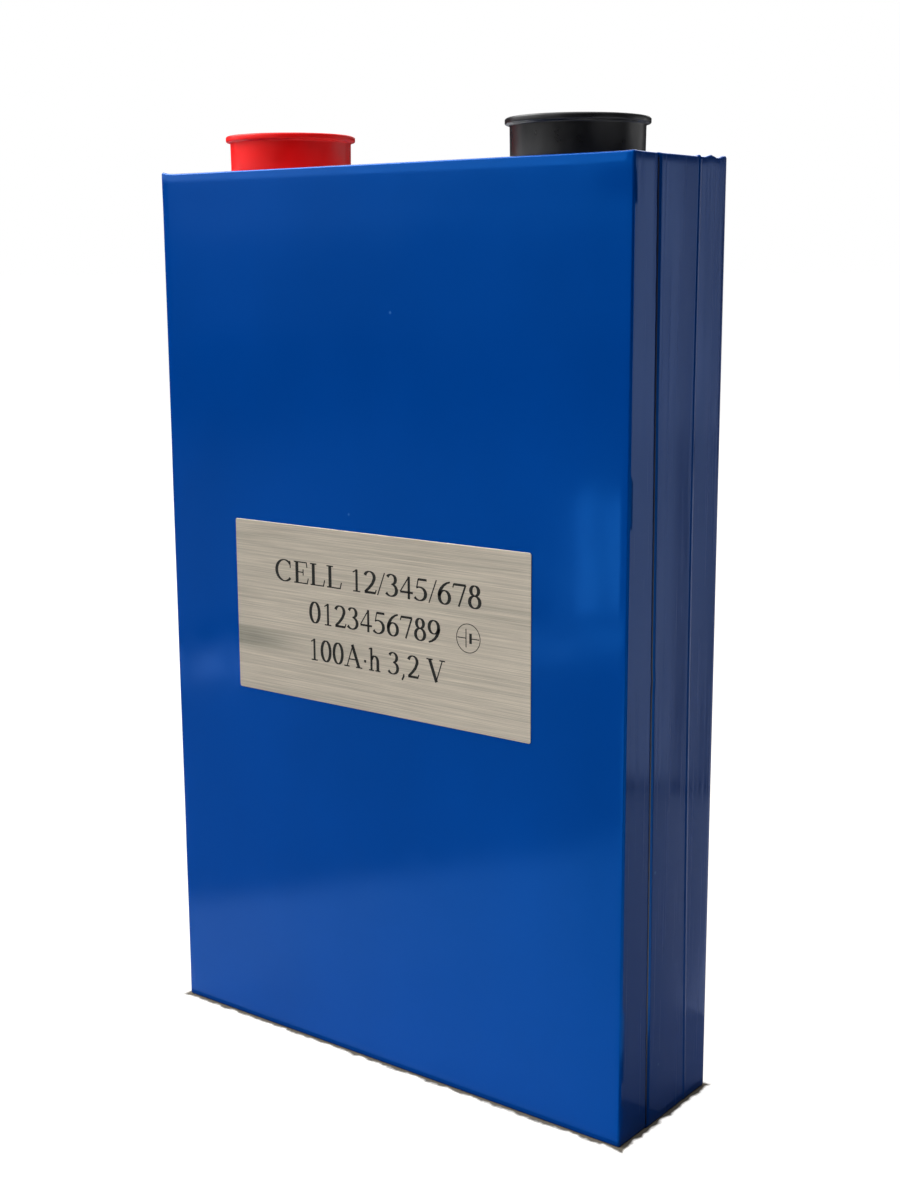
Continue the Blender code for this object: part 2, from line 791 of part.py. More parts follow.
def terminal_cap(end, x, look, parent):
    """The coloured cap, whose parent empty lies on the line that it is pulled off along."""
    axis = empty(f"{end}_cap_axis", (x, 0.0, CAP_LOW), parent)
    cap = turned(f"{end}_cap", cap_profile(), (0.0, 0.0, 0.0))
    finish(cap, look, axis)


# Wound core -------------------------------------------------------------------------------


def bottom_tray(parent):
    wide, deep = COVER_HALF
    holes = []
    for hole in range(TRAY_HOLE_COUNT):
        x = TRAY_HOLE_PITCH * (hole - (TRAY_HOLE_COUNT - 1) / 2)
        holes.append(circle(x, 0.0, TRAY_HOLE_RADIUS))
    tray = plate(
        "bottom_tray",
        [rounded_rectangle(-wide, wide, -deep, deep, CAN_INNER_RADIUS), *holes],
        TRAY_LOW,
        TRAY_LOW + TRAY_THICKNESS,
    )
    finish(tray, black_plastic(), parent)


def core_bag(parent):
    bag = open_box(
        "core_bag",
        BAG_HALF,
        BAG_INNER_HALF,
        BAG_LOW,
        BAG_WALL,
        INNER_INSULATOR_LOW,
        CAN_INNER_RADIUS,
        CAN_INNER_RADIUS,
    )
    finish(bag, clear_film(), parent)


def jelly_roll(roll, facing, parent):
    """One wound roll: flat sides, round ends and the slit that the winding tool leaves."""
    thick = CORE_HALF.y - GAP / 2
    y = facing * (GAP / 2 + thick / 2)
    length = 2 * CORE_HALF.x
    slit = length - thick - 2 * CORE_SLIT_MARGIN
    wound = plate(
        f"jelly_roll_{roll}",
        [obround(0.0, y, length, thick), obround(0.0, y, slit, CORE_SLIT_WIDTH)],
        ROLL_LOW,
        ROLL_TOP,
    )
    finish(wound, wound_foil(), parent)


def roll_end_tape(roll, facing, parent):
    """The tape that holds the roll's outer end down."""
    near, far = sorted((facing * TAPE_INNER_HALF.y, facing * TAPE_HALF.y))
    middle = (ROLL_LOW + ROLL_TOP) / 2
    tape = box(
        f"roll_end_tape_{roll}",
        (-END_TAPE_WIDTH / 2, near, middle - END_TAPE_HEIGHT / 2),
        (END_TAPE_WIDTH / 2, far, middle + END_TAPE_HEIGHT / 2),
    )
    finish(tape, green_tape(), parent)


def bundle_tape(place, low, parent):
    """A band round both rolls. Its corners follow the rolls' round ends."""
    round_end = (CORE_HALF.y - GAP / 2) / 2
    outer = round_end + GAP + TAPE_THICKNESS
    inner = round_end + GAP
    band = plate(
        f"bundle_tape_{place}",
        [
            rounded_band(TAPE_HALF, outer),
            rounded_band(TAPE_INNER_HALF, inner),
        ],
        low,
        low + BAND_HEIGHT,
    )
    finish(band, green_tape(), parent)


def rounded_band(half, radius):
    return rounded_rectangle(-half.x, half.x, -half.y, half.y, radius, END_STEPS // 2)


# Assembly ---------------------------------------------------------------------------------


def build():
    body = empty("cell_body_frame", (0.0, 0.0, 0.0))
    insulation_film(body)
    rating_label(body)
    cell_can(body)
    cover_plate(body)
    vent(body)
    filling_hole(body)
    terminals = (
        ("positive", -1, aluminium(), red_plastic()),
        ("negative", 1, copper(), black_plastic()),
    )
    rolls = (("front", -1), ("rear", 1))
    for end, side, metal, cap_look in terminals:
        x = side * TERMINAL_X
        terminal_pole(end, x, metal, body)
        outer_insulator(end, side, body)
        seal_ring(end, x, body)
        inner_insulator(end, side, body)
        collector(end, side, metal, body)
        for roll, facing in rolls:
            tab_stack(end, side, roll, facing, metal, body)
        terminal_cap(end, x, cap_look, body)
    bottom_tray(body)
    core_bag(body)
    for roll, facing in rolls:
        jelly_roll(roll, facing, body)
        roll_end_tape(roll, facing, body)
    bundle_tape("lower", ROLL_LOW + BAND_FROM_ENDS, body)
    bundle_tape("upper", ROLL_TOP - BAND_FROM_ENDS - BAND_HEIGHT, body)


clear_scene()
PARTS = new_collection("prismatic_battery_cell")
CUTTERS = new_collection("cutters")
CUTTERS.hide_render = True
build()
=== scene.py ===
import json
from math import cos, hypot, pi, radians, sin, tan

import bpy
from mathutils import Matrix, Vector, noise

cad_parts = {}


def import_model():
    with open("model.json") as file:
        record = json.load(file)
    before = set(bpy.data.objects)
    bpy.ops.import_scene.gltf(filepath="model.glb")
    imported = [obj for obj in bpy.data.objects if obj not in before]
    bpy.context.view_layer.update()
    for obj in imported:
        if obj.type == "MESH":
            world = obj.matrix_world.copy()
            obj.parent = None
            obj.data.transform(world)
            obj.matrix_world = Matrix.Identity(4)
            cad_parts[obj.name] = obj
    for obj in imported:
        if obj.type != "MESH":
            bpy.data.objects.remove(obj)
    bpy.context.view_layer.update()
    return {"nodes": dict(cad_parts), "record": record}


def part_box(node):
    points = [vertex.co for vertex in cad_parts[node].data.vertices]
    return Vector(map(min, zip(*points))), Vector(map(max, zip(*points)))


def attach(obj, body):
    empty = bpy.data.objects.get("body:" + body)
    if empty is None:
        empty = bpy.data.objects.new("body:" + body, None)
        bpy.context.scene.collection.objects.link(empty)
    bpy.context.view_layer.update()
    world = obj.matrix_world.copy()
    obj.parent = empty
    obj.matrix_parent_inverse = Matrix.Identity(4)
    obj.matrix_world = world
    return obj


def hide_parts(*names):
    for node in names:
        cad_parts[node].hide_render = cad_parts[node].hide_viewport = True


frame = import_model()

# Everything is in metres unless a name says otherwise, +Z up, in the frame's own axes.
MM = 0.001

CELL = "cell"
FILM_LOW, FILM_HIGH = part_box("insulation_film")
LABEL_LOW, LABEL_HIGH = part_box("rating_label")
COVER_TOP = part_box("cover_plate")[1].z

TURN_STEPS = 96
# A turned piece closes on its axis with a ring too small to see
AXIS_RADIUS = 0.002 * MM
WHITE = (1.0, 1.0, 1.0, 1.0)


# Small sums ---------------------------------------------------------------------------------


def smooth(value, start, end):
    """0 before start, 1 after end, and an even S between them."""
    share = min(max((value - start) / (end - start), 0.0), 1.0)
    return share * share * (3.0 - 2.0 * share)


def bump(value, centre, reach):
    """1 at centre, falling smoothly to 0 at reach on both sides."""
    return 1.0 - smooth(abs(value - centre), 0.0, reach)


def spread(start, end, count):
    """count + 1 even values from start to end."""
    return [start + (end - start) * step / count for step in range(count + 1)]


def wave(x, y, seed):
    """Smooth noise of about -1 to 1."""
    return noise.noise(Vector((x, y, seed)))


# Outlines -----------------------------------------------------------------------------------


def arc(x, y, radius, start, end, steps):
    """Points round a centre, with the angles in degrees."""
    angles = [radians(angle) for angle in spread(start, end, steps)]
    return [(x + radius * cos(angle), y + radius * sin(angle)) for angle in angles]


def rounded_outline(low, high, radius, steps=6):
    """A rounded rectangle between two (x, y) corners, anticlockwise."""
    left, front = low[0] + radius, low[1] + radius
    right, back = high[0] - radius, high[1] - radius
    corners = [(right, front, -90), (right, back, 0), (left, back, 90), (left, front, 180)]
    return [point for x, y, turn in corners for point in arc(x, y, radius, turn, turn + 90, steps)]


def obround_outline(length, width):
    """A slot's outline about the origin, along X."""
    reach = (length - width) / 2
    right = arc(reach, 0.0, width / 2, -90, 90, 24)
    return right + arc(-reach, 0.0, width / 2, 90, 270, 24)


# Meshes -------------------------------------------------------------------------------------


def mesh_object(name, points, faces, sharp=40.0):
    mesh = bpy.data.meshes.new(name)
    mesh.from_pydata(points, [], faces)
    mesh.validate()
    mesh.shade_smooth()
    mesh.set_sharp_from_angle(angle=radians(sharp))
    made = bpy.data.objects.new(name, mesh)
    bpy.context.scene.collection.objects.link(made)
    return made


def loft(name, rings, closed=False, sharp=40.0):
    """A skin over rings of equally many points, filled at both ends unless the rings join up."""
    count = len(rings[0])
    points = [point for ring in rings for point in ring]
    faces = []
    for row in range(len(rings) if closed else len(rings) - 1):
        this, following = row * count, (row + 1) % len(rings) * count
        for step in range(count):
            beside = (step + 1) % count
            faces.append((this + step, this + beside, following + beside, following + step))
    if not closed:
        faces.append(tuple(reversed(range(count))))
        faces.append(tuple(range(len(points) - count, len(points))))
    return mesh_object(name, points, faces, sharp)


def turned(name, place, profile, steps=TURN_STEPS, closed=False, radius=None, sharp=40.0):
    """A turned piece about the upright line at place, from its (radius, height) profile."""
    rings = []
    for reach, height in profile:
        ring = []
        for angle in spread(0.0, 2 * pi, steps)[:-1]:
            out = radius(reach, height, angle) if radius else reach
            ring.append((place[0] + out * cos(angle), place[1] + out * sin(angle), height))
        rings.append(ring)
    return loft(name, rings, closed, sharp)


def add_piece(piece, look, body=CELL, replaces=()):
    """Gives a piece its material and its place in the frame."""
    piece.data.materials.clear()
    piece.data.materials.append(look)
    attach(piece, body)
    if replaces:
        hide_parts(*replaces)


# Materials ----------------------------------------------------------------------------------


def srgb(red, green, blue):
    """A colour given as 0-255 screen values, as the linear values that shaders take."""

    def linear(value):
        share = value / 255
        return share / 12.92 if share <= 0.04045 else ((share + 0.055) / 1.055) ** 2.4

    return (linear(red), linear(green), linear(blue), 1.0)


class Look:
    """A Principled material and the nodes that vary it, in object coordinates measured in millimetres."""

    def __init__(self, name, colour, roughness, **sockets):
        self.material = bpy.data.materials.new(name)
        self.material.use_nodes = True
        self.nodes = self.material.node_tree.nodes
        self.links = self.material.node_tree.links
        self.shader = self.nodes["Principled BSDF"]
        self.shader.inputs["Base Color"].default_value = colour
        self.shader.inputs["Roughness"].default_value = roughness
        for socket, value in sockets.items():
            self.shader.inputs[socket.replace("_", " ")].default_value = value
        self.place = self.nodes.new("ShaderNodeTexCoord").outputs["Object"]
        self.normal = None

    def node(self, kind, inputs=(), **settings):
        made = self.nodes.new(kind)
        for setting, value in settings.items():
            setattr(made, setting, value)
        for socket, value in dict(inputs).items():
            if isinstance(value, bpy.types.NodeSocket):
                self.links.new(value, made.inputs[socket])
            else:
                made.inputs[socket].default_value = value
        return made

    def noise(self, size, detail=3.0, stretch=(1.0, 1.0, 1.0), rough=0.5, offset=(0.0, 0.0, 0.0)):
        """Noise whose features are about size millimetres across, times stretch along each axis."""
        scale = [1.0 / (MM * size * axis) for axis in stretch]
        mapping = self.node(
            "ShaderNodeMapping", {"Vector": self.place, "Scale": scale, "Location": offset}
        )
        return self.node(
            "ShaderNodeTexNoise",
            {"Vector": mapping.outputs["Vector"], "Scale": 1.0, "Detail": detail, "Roughness": rough},
        ).outputs["Fac"]

    def span(self, value, low, high, start=0.3, end=0.7, smoothly=False):
        """value from start to end, turned into low to high."""
        return self.node(
            "ShaderNodeMapRange",
            {"Value": value, "From Min": start, "From Max": end, "To Min": low, "To Max": high},
            interpolation_type="SMOOTHSTEP" if smoothly else "LINEAR",
        ).outputs["Result"]

    def math(self, operation, first, second):
        return self.node("ShaderNodeMath", {0: first, 1: second}, operation=operation).outputs[0]

    def axis(self, name):
        """The place along one axis, in metres."""
        return self.node("ShaderNodeSeparateXYZ", {"Vector": self.place}).outputs[name]

    def mix(self, share, first, second):
        return self.node(
            "ShaderNodeMix", {0: share, 6: first, 7: second}, data_type="RGBA"
        ).outputs[2]

    def colour(self, value):
        self.links.new(value, self.shader.inputs["Base Color"])

    def roughness(self, value):
        self.links.new(value, self.shader.inputs["Roughness"])

    def relief(self, height, depth):
        """Adds a bump, depth millimetres high where height goes from 0 to 1."""
        inputs = {"Height": height, "Distance": depth * MM, "Strength": 1.0}
        if self.normal:
            inputs["Normal"] = self.normal
        self.normal = self.node("ShaderNodeBump", inputs).outputs["Normal"]
        self.links.new(self.normal, self.shader.inputs["Normal"])


def shade(colour, factor):
    """The colour made darker or lighter, and opaque."""
    return tuple(value * factor for value in colour[:3]) + (1.0,)


def film_look():
    """Dyed glossy film: what it mirrors comes back tinted, except at a glancing angle."""
    blue = (0.0, 0.050, 0.285, 1.0)
    look = Look("blue_film", blue, 0.1, Metallic=0.1, IOR=1.45, Specular_Tint=(0.0, 0.4, 1.0, 1.0))
    broad = look.noise(45.0, detail=2.0, stretch=(1.0, 1.0, 1.4))
    tone = look.mix(look.span(broad, 0.0, 1.0, 0.35, 0.65), shade(blue, 0.95), shade(blue, 1.06))
    # Light specks across the film: dust and scratches, and painted glints
    glint_and_dust_specks = look.node(
        "ShaderNodeTexVoronoi", {"Vector": look.place, "Scale": 62.0, "Randomness": 1.0}
    ).outputs["Distance"]
    with_glints_and_dust = look.mix(look.span(glint_and_dust_specks, 0.6, 0.0, 0.0, 0.028), tone, (0.08, 0.25, 0.6, 1.0))
    look.colour(with_glints_and_dust)
    smear = look.span(look.noise(9.0, detail=4.0, stretch=(1.0, 1.0, 2.2)), 0.08, 0.15)
    streaks = look.span(look.noise(0.4, detail=4.0, stretch=(1.0, 1.0, 150.0)), 0.0, 1.0, 0.46, 0.7)
    side_start, side_full = FILM_HIGH.x - 1.2 * MM, FILM_HIGH.x - 0.6 * MM
    on_side = look.span(look.axis("X"), 0.0, 1.0, side_start, side_full)
    rubbed = look.math("MULTIPLY", look.math("MULTIPLY", streaks, on_side), 0.2)
    look.roughness(look.math("ADD", smear, rubbed))
    look.relief(look.noise(24.0, detail=2.0, stretch=(1.0, 1.0, 2.0)), 0.06)
    look.relief(look.noise(1.6, detail=3.0), 0.0006)
    return look.material


def adhesive_and_shade_look():
    """The dark line along the film's glued edge: adhesive that squeezes out, and painted shade of the gap
    under the flap's edge.
    """
    look = Look("film_adhesive_and_shade", (0.002, 0.006, 0.03, 1.0), 0.3)
    look.colour(look.mix(look.noise(1.5), (0.001, 0.003, 0.02, 1.0), (0.004, 0.012, 0.06, 1.0)))
    look.relief(look.noise(0.7), 0.02)
    return look.material


# The darker, greener patch low on the label's left: where it fades out along X, its height, and how thick
# it is
DARK_PATCH_FULL_X, DARK_PATCH_END_X = LABEL_LOW.x + 4.0 * MM, LABEL_LOW.x + 24.0 * MM
DARK_PATCH_Z = LABEL_LOW.z + 12.5 * MM
DARK_PATCH_CORE, DARK_PATCH_REACH = 0.5 * MM, 3.6 * MM


def label_look():
    """Brushed metallic foil: long streaks along X in colour, roughness and height, and a darker patch low
    on the left.
    """
    warm = srgb(205, 195, 178)
    look = Look("label_foil", warm, 0.42, Metallic=0.5, Anisotropic=0.4)
    fine = look.noise(0.13, detail=5.0, stretch=(160.0, 1.0, 1.0), rough=0.7)
    broad = look.noise(0.8, detail=5.0, stretch=(90.0, 1.0, 1.0), rough=0.65, offset=(3.0, 0.0, 0.4))
    streaks = look.mix(look.span(fine, 0.0, 1.0, 0.33, 0.67), shade(warm, 0.68), shade(warm, 1.18))
    banded = look.mix(look.span(broad, 0.0, 0.55, 0.5, 0.72), streaks, srgb(152, 148, 134))
    # A darker, greener patch low on the left
    left = look.span(look.axis("X"), 1.0, 0.0, DARK_PATCH_FULL_X, DARK_PATCH_END_X, smoothly=True)
    up = look.math("ABSOLUTE", look.math("SUBTRACT", look.axis("Z"), DARK_PATCH_Z), 0.0)
    low = look.span(up, 1.0, 0.0, DARK_PATCH_CORE, DARK_PATCH_REACH, smoothly=True)
    dark_patch = look.math("MULTIPLY", look.math("MULTIPLY", left, low), look.span(broad, 0.3, 1.0))
    look.colour(look.mix(dark_patch, banded, srgb(122, 124, 112)))
    look.roughness(look.span(fine, 0.36, 0.5))
    look.relief(fine, 0.008)
    return look.material


def print_look():
    """Label ink: near black, a little worn where the foil's streaks come through."""
    dark, worn = (0.006, 0.006, 0.005, 1.0), (0.022, 0.020, 0.016, 1.0)
    look = Look("label_ink", dark, 0.6, Specular_IOR_Level=0.3)
    streaks = look.noise(0.35, detail=4.0, stretch=(8.0, 1.0, 1.0))
    look.colour(look.mix(look.span(streaks, 0.0, 0.6, 0.5, 0.7), dark, worn))
    look.roughness(look.span(streaks, 0.5, 0.7))
    return look.material


def moulded_look(name, colour, roughness, grain=0.5, depth=0.006, **sockets):
    """Moulded plastic: a faint cloudiness in the colour, uneven gloss and a fine grain."""
    look = Look(name, colour, roughness, **sockets)
    cloud = look.noise(6.0, detail=3.0)
    look.colour(look.mix(look.span(cloud, 0.0, 1.0), shade(colour, 0.92), shade(colour, 1.06)))
    look.roughness(look.span(look.noise(3.0, detail=4.0), roughness - 0.05, roughness + 0.06))
    look.relief(look.noise(grain, detail=2.0), depth)
    return look.material


def metal_look(name, colour, roughness):
    """Bare rolled metal: streaks along X in its roughness and height, and slight dulling in patches."""
    look = Look(name, colour, roughness, Metallic=1.0)
    streaks = look.noise(0.4, detail=4.0, stretch=(26.0, 1.0, 1.0), rough=0.6)
    patches = look.noise(11.0, detail=3.0)
    look.colour(look.mix(look.span(patches, 0.0, 1.0), shade(colour, 0.88), shade(colour, 1.04)))
    look.roughness(look.span(streaks, roughness - 0.08, roughness + 0.1))
    look.relief(streaks, 0.004)
    return look.material


def turned_metal_look(name, colour, roughness, centre):
    """Metal faced on a lathe: fine rings about the upright line at centre."""
    look = Look(name, colour, roughness, Metallic=1.0)
    moved = look.node("ShaderNodeMapping", {"Vector": look.place, "Location": (-centre, 0.0, 0.0)})
    split = look.node("ShaderNodeSeparateXYZ", {"Vector": moved.outputs["Vector"]})
    square = look.math("MULTIPLY", split.outputs["X"], split.outputs["X"])
    square_y = look.math("MULTIPLY", split.outputs["Y"], split.outputs["Y"])
    reach = look.math("SQRT", look.math("ADD", square, square_y), 0.0)
    ring_pitch = 0.16 * MM
    rings = look.math("SINE", look.math("MULTIPLY", reach, 2 * pi / ring_pitch), 0.0)
    patches = look.noise(4.0, detail=3.0)
    look.colour(look.mix(look.span(patches, 0.0, 1.0), shade(colour, 0.93), shade(colour, 1.04)))
    look.roughness(look.span(look.noise(1.6, detail=3.0), roughness - 0.03, roughness + 0.04))
    look.relief(look.span(rings, 0.0, 1.0, -1.0, 1.0), 0.0012)
    return look.material


def clear_look():
    """Thin clear film with faint cloudiness."""
    look = Look("clear_film", (0.75, 0.79, 0.83, 1.0), 0.12, Alpha=0.3, IOR=1.5)
    cloud = look.noise(4.0, detail=3.0)
    dull, pale = (0.70, 0.75, 0.80, 1.0), (0.82, 0.85, 0.87, 1.0)
    look.colour(look.mix(look.span(cloud, 0.0, 1.0), dull, pale))
    look.roughness(look.span(cloud, 0.08, 0.2))
    look.relief(look.noise(5.0, detail=2.0), 0.02)
    return look.material


def wound_look():
    """Wound foil and separator: fine upright layers seen on the ends, dull grey between them."""
    look = Look("wound_foil", (0.5, 0.5, 0.49, 1.0), 0.45, Metallic=0.4)
    layers = look.noise(0.3, detail=2.0, stretch=(1.0, 1.0, 40.0))
    dark, pale = (0.36, 0.36, 0.36, 1.0), (0.62, 0.62, 0.6, 1.0)
    look.colour(look.mix(look.span(layers, 0.0, 1.0), dark, pale))
    look.relief(layers, 0.02)
    return look.material


LOOKS = {
    "blue_film": film_look(),
    "label_foil": label_look(),
    "label_ink": print_look(),
    "film_adhesive_and_shade": adhesive_and_shade_look(),
    "aluminium": metal_look("aluminium", (0.72, 0.73, 0.75, 1.0), 0.34),
    "copper": metal_look("copper", (0.80, 0.34, 0.19, 1.0), 0.32),
    "black_plastic": moulded_look("black_plastic", (0.014, 0.014, 0.015, 1.0), 0.45),
    "red_cap": moulded_look(
        "red_cap", (1.0, 0.002, 0.002, 1.0), 0.36, depth=0.004, Specular_IOR_Level=0.32
    ),
    "black_cap": moulded_look(
        "black_cap", (0.004, 0.004, 0.0045, 1.0), 0.32, grain=0.8, depth=0.004
    ),
    "seal_rubber": moulded_look("seal_rubber", (0.013, 0.021, 0.061, 1.0), 0.6),
    "clear_film": clear_look(),
    "wound_foil": wound_look(),
    "green_tape": moulded_look("green_tape", (0.021, 0.19, 0.062, 1.0), 0.35, grain=1.2),
}


# Insulating film ----------------------------------------------------------------------------

MIDDLE_Z = (FILM_LOW.z + FILM_HIGH.z) / 2
# The sheet's thickness, the radii of its upright corners and top and bottom edges, and its top lip's width
SHEET = 0.13 * MM
CORNER = 0.6 * MM
EDGE = 0.45 * MM
LIP = 3.6 * MM
# On the +X side the outer flap lies over the inner layer, and over the ridge of that layer's hidden edge
INNER_LAYER_X = FILM_HIGH.x - 0.28 * MM
BEHIND_RIDGE_X = FILM_HIGH.x - 0.11 * MM
RIDGE_Y = 6.6 * MM
RIDGE_FLANK = 0.05 * MM
RIDGE_BEAD, RIDGE_BEAD_REACH = 0.065 * MM, 0.6 * MM
# The flap sags between its glued front part and the ridge
SAG_START_Y = -0.8 * MM
SAG = 0.12 * MM
# The flap's free edge
SEAM_FROM_FRONT = 9.85 * MM
SEAM_SLANT = radians(0.53)
# How finely the sheet is divided
SIDE_STEPS = 22
FACE_STEPS = 72
CORNER_STEPS = 6
WALL_ROWS = 104


def seam_y(z):
    """Where the outer flap ends on the +X side: a straight edge that leans forward towards the top."""
    nick = 0.25 * MM * bump(z, 100.0 * MM, 3.0 * MM)
    return FILM_LOW.y + SEAM_FROM_FRONT - (z - MIDDLE_Z) * tan(SEAM_SLANT) + nick


def ridge_y(z):
    """Where the inner layer's hidden edge raises a ridge under the outer flap."""
    return RIDGE_Y + 0.9 * MM * ((z - 150 * MM) / (90 * MM)) ** 2


def film_outline(z, inset):
    """The sheet's outer face at one height, from its hidden edge to its free one, as (x, y, side)."""
    radius = max(CORNER - inset, 0.05 * MM)
    front, back, left = FILM_LOW.y + inset, FILM_HIGH.y - inset, FILM_LOW.x + inset
    inner, outer = INNER_LAYER_X - inset, BEHIND_RIDGE_X - inset
    line = [(inner, y, "inner") for y in spread(ridge_y(z), front + radius, SIDE_STEPS)]

    def corner(x, y, start, end, side):
        line.extend((*point, side) for point in arc(x, y, radius, start, end, CORNER_STEPS)[1:-1])

    corner(inner - radius, front + radius, 0, -90, "front")
    line.extend((x, front, "front") for x in spread(inner - radius, left + radius, FACE_STEPS))
    corner(left + radius, front + radius, -90, -180, "left")
    line.extend((left, y, "left") for y in spread(front + radius, back - radius, SIDE_STEPS))
    corner(left + radius, back - radius, 180, 90, "back")
    line.extend((x, back, "back") for x in spread(left + radius, outer - radius, FACE_STEPS))
    corner(outer - radius, back - radius, 90, 0, "flap")
    over = FILM_HIGH.x - BEHIND_RIDGE_X - RIDGE_FLANK
    ridge = ridge_y(z)
    rows = spread(back - radius, ridge + MM, 8) + spread(ridge + MM, ridge - 1.2 * MM, 16)[1:]
    for y in rows + spread(ridge - 1.2 * MM, seam_y(z), 12)[1:]:
        step = over * (1.0 - smooth(y, ridge - 0.3 * MM, ridge + 0.5 * MM))
        step += RIDGE_BEAD * bump(y, ridge, RIDGE_BEAD_REACH)
        sag = SAG * max(y - SAG_START_Y, 0.0) / (ridge - SAG_START_Y)
        fall = sag * (1.0 - smooth(y, ridge - 0.7 * MM, ridge))
        line.append((outer + step - fall, y, "flap"))
    return line


def film_dip(x, y, z, side):
    """How far the sheet lies inside its flat place: slack between the edges, none under the label."""
    u = x if side in ("front", "back") else y
    seed = {"front": 1.3, "back": 4.7, "left": 7.9, "inner": 11.1, "flap": 13.6}[side]
    depth = {"front": 0.10, "back": 0.12, "left": 0.10, "inner": 0.03, "flap": 0.03}[side] * MM
    slack = wave(u / (26 * MM), z / (34 * MM), seed)
    slack += 0.5 * wave(u / (9 * MM), z / (15 * MM), seed + 5)
    dip = depth * (0.5 + 0.5 * slack)
    if side == "front":
        over_label = max(
            smooth(abs(x - (LABEL_LOW.x + LABEL_HIGH.x) / 2), 40 * MM, 46 * MM),
            smooth(abs(z - (LABEL_LOW.z + LABEL_HIGH.z) / 2), 18 * MM, 25 * MM),
        )
        dip = dip * over_label + 0.16 * MM * smooth(x, 53 * MM, 63 * MM)
    if side in ("inner", "flap"):
        dip = dip * 0.8
    foot = smooth(z, 1.5 * MM, 9 * MM)
    head = 1.0 - smooth(z, FILM_HIGH.z - 9 * MM, FILM_HIGH.z - 1.5 * MM)
    return max(dip, 0.0) * (foot * head)


def film_rise(x, y, side, lip):
    """How far the top edge stands up: pleats at the corners and small ruffles along the lip."""
    # The corner pleats' (x, y, height) in millimetres
    ears = [(-64.4, -17.4, 0.45), (64.2, 17.2, 0.55), (-64.2, 17.2, 0.4), (64.0, -17.0, 0.12)]
    reach = 2.6 * MM
    rise = sum(
        height * MM * (1.0 - smooth(hypot(x - at_x * MM, y - at_y * MM), 0.0, reach))
        for at_x, at_y, height in ears
    )
    if side == "flap":
        rise += 0.5 * MM * bump(y, 11.6 * MM, 2.4 * MM) + 0.25 * MM * bump(y, 6.8 * MM, 0.8 * MM)
        rise += 0.2 * MM * bump(y, -10.6 * MM, 1.2 * MM)
    ruffle = wave(x / (7 * MM), y / (7 * MM), 3.1)
    return rise + lip * 0.10 * MM * ruffle


def film_rows():
    """(height, inset, lip share) from the base's inner edge, up the wall, to the lip's inner edge."""
    low = FILM_LOW.z
    rows = [(low + 0.04 * MM, 3.0 * MM, 0.0), (low + 0.01 * MM, 1.6 * MM, 0.0)]
    for across, up in arc(0.0, 0.0, EDGE, -90, 0, 5):
        rows.append((low + EDGE + up, EDGE - across, 0.0))
    start, end = low + EDGE, FILM_HIGH.z - EDGE
    rows += [(z, 0.0, 0.0) for z in spread(start, end, WALL_ROWS)[1:-1]]
    for across, up in arc(0.0, 0.0, EDGE, 0, 90, 6):
        rows.append((end + up, EDGE - across, 0.0))
    for share in spread(0.0, 1.0, 6)[1:]:
        drop = 0.22 * MM * share
        rows.append((FILM_HIGH.z - drop, EDGE + (LIP - EDGE) * share, share))
    return rows


def insulation_film():
    """The wrap as one thin sheet: slack between its edges, with a ragged lip turned in at the top."""
    rows = film_rows()
    points = []
    for z, inset, lip in rows:
        flat = film_outline(z, inset)
        for index, (x, y, side) in enumerate(flat):
            dip = film_dip(x, y, z, side)
            ragged = lip * 0.35 * MM * wave(x / (5 * MM), y / (5 * MM), 8.4)
            if dip or ragged:
                x, y, side = film_outline(z, inset + dip + ragged)[index]
            top = smooth(z, FILM_HIGH.z - 1.6 * MM, FILM_HIGH.z)
            up = film_rise(x, y, side, lip) * top
            under = 0.16 * MM if side == "inner" and y > seam_y(z) - 2 * MM else 0.0
            tucked = under * smooth(inset, 0.5 * EDGE, 2 * EDGE)
            points.append((x, y, z + up + (tucked if z < MIDDLE_Z else -tucked)))
    across = len(points) // len(rows)
    faces = []
    for row in range(len(rows) - 1):
        for step in range(across - 1):
            here, above = row * across + step, (row + 1) * across + step
            faces.append((here, above, above + 1, here + 1))
    film = mesh_object("film_wrap", points, faces, sharp=60.0)
    thick = film.modifiers.new("thickness", "SOLIDIFY")
    thick.thickness = SHEET
    thick.offset = -1.0
    add_piece(film, LOOKS["blue_film"], replaces=["insulation_film"])


def film_seam():
    """The thin, uneven dark line along the outer flap's edge: adhesive, and painted shade of the gap under
    it.
    """
    high, low = FILM_HIGH.x - 0.06 * MM, INNER_LAYER_X - 0.08 * MM
    rings = []
    for z in spread(FILM_LOW.z + 1.0 * MM, FILM_HIGH.z - 0.9 * MM, 80):
        width = (0.26 + 0.16 * wave(z / (2.5 * MM), 0.0, 2.0)) * MM
        y = seam_y(z)
        ring = [(low, y - width, z), (high - 0.06 * MM, y - width * 0.7, z)]
        rings.append(ring + [(high, y - 0.02 * MM, z), (low, y, z)])
    add_piece(loft("film_seam_adhesive_and_shade", rings), LOOKS["film_adhesive_and_shade"])


def slab(name, outline, low, high, edge=0.04 * MM):
    """A flat sheet piece with softened edges, from its outline."""
    cx = sum(x for x, y in outline) / len(outline)
    cy = sum(y for x, y in outline) / len(outline)

    def ring(z, inset):
        made = []
        for x, y in outline:
            reach = hypot(x - cx, y - cy)
            made.append((x - (x - cx) / reach * inset, y - (y - cy) / reach * inset, z))
        return made

    rows = [(low, edge), (low + edge, 0.0), (high - edge, 0.0), (high, edge)]
    return loft(name, [ring(z, inset) for z, inset in rows])


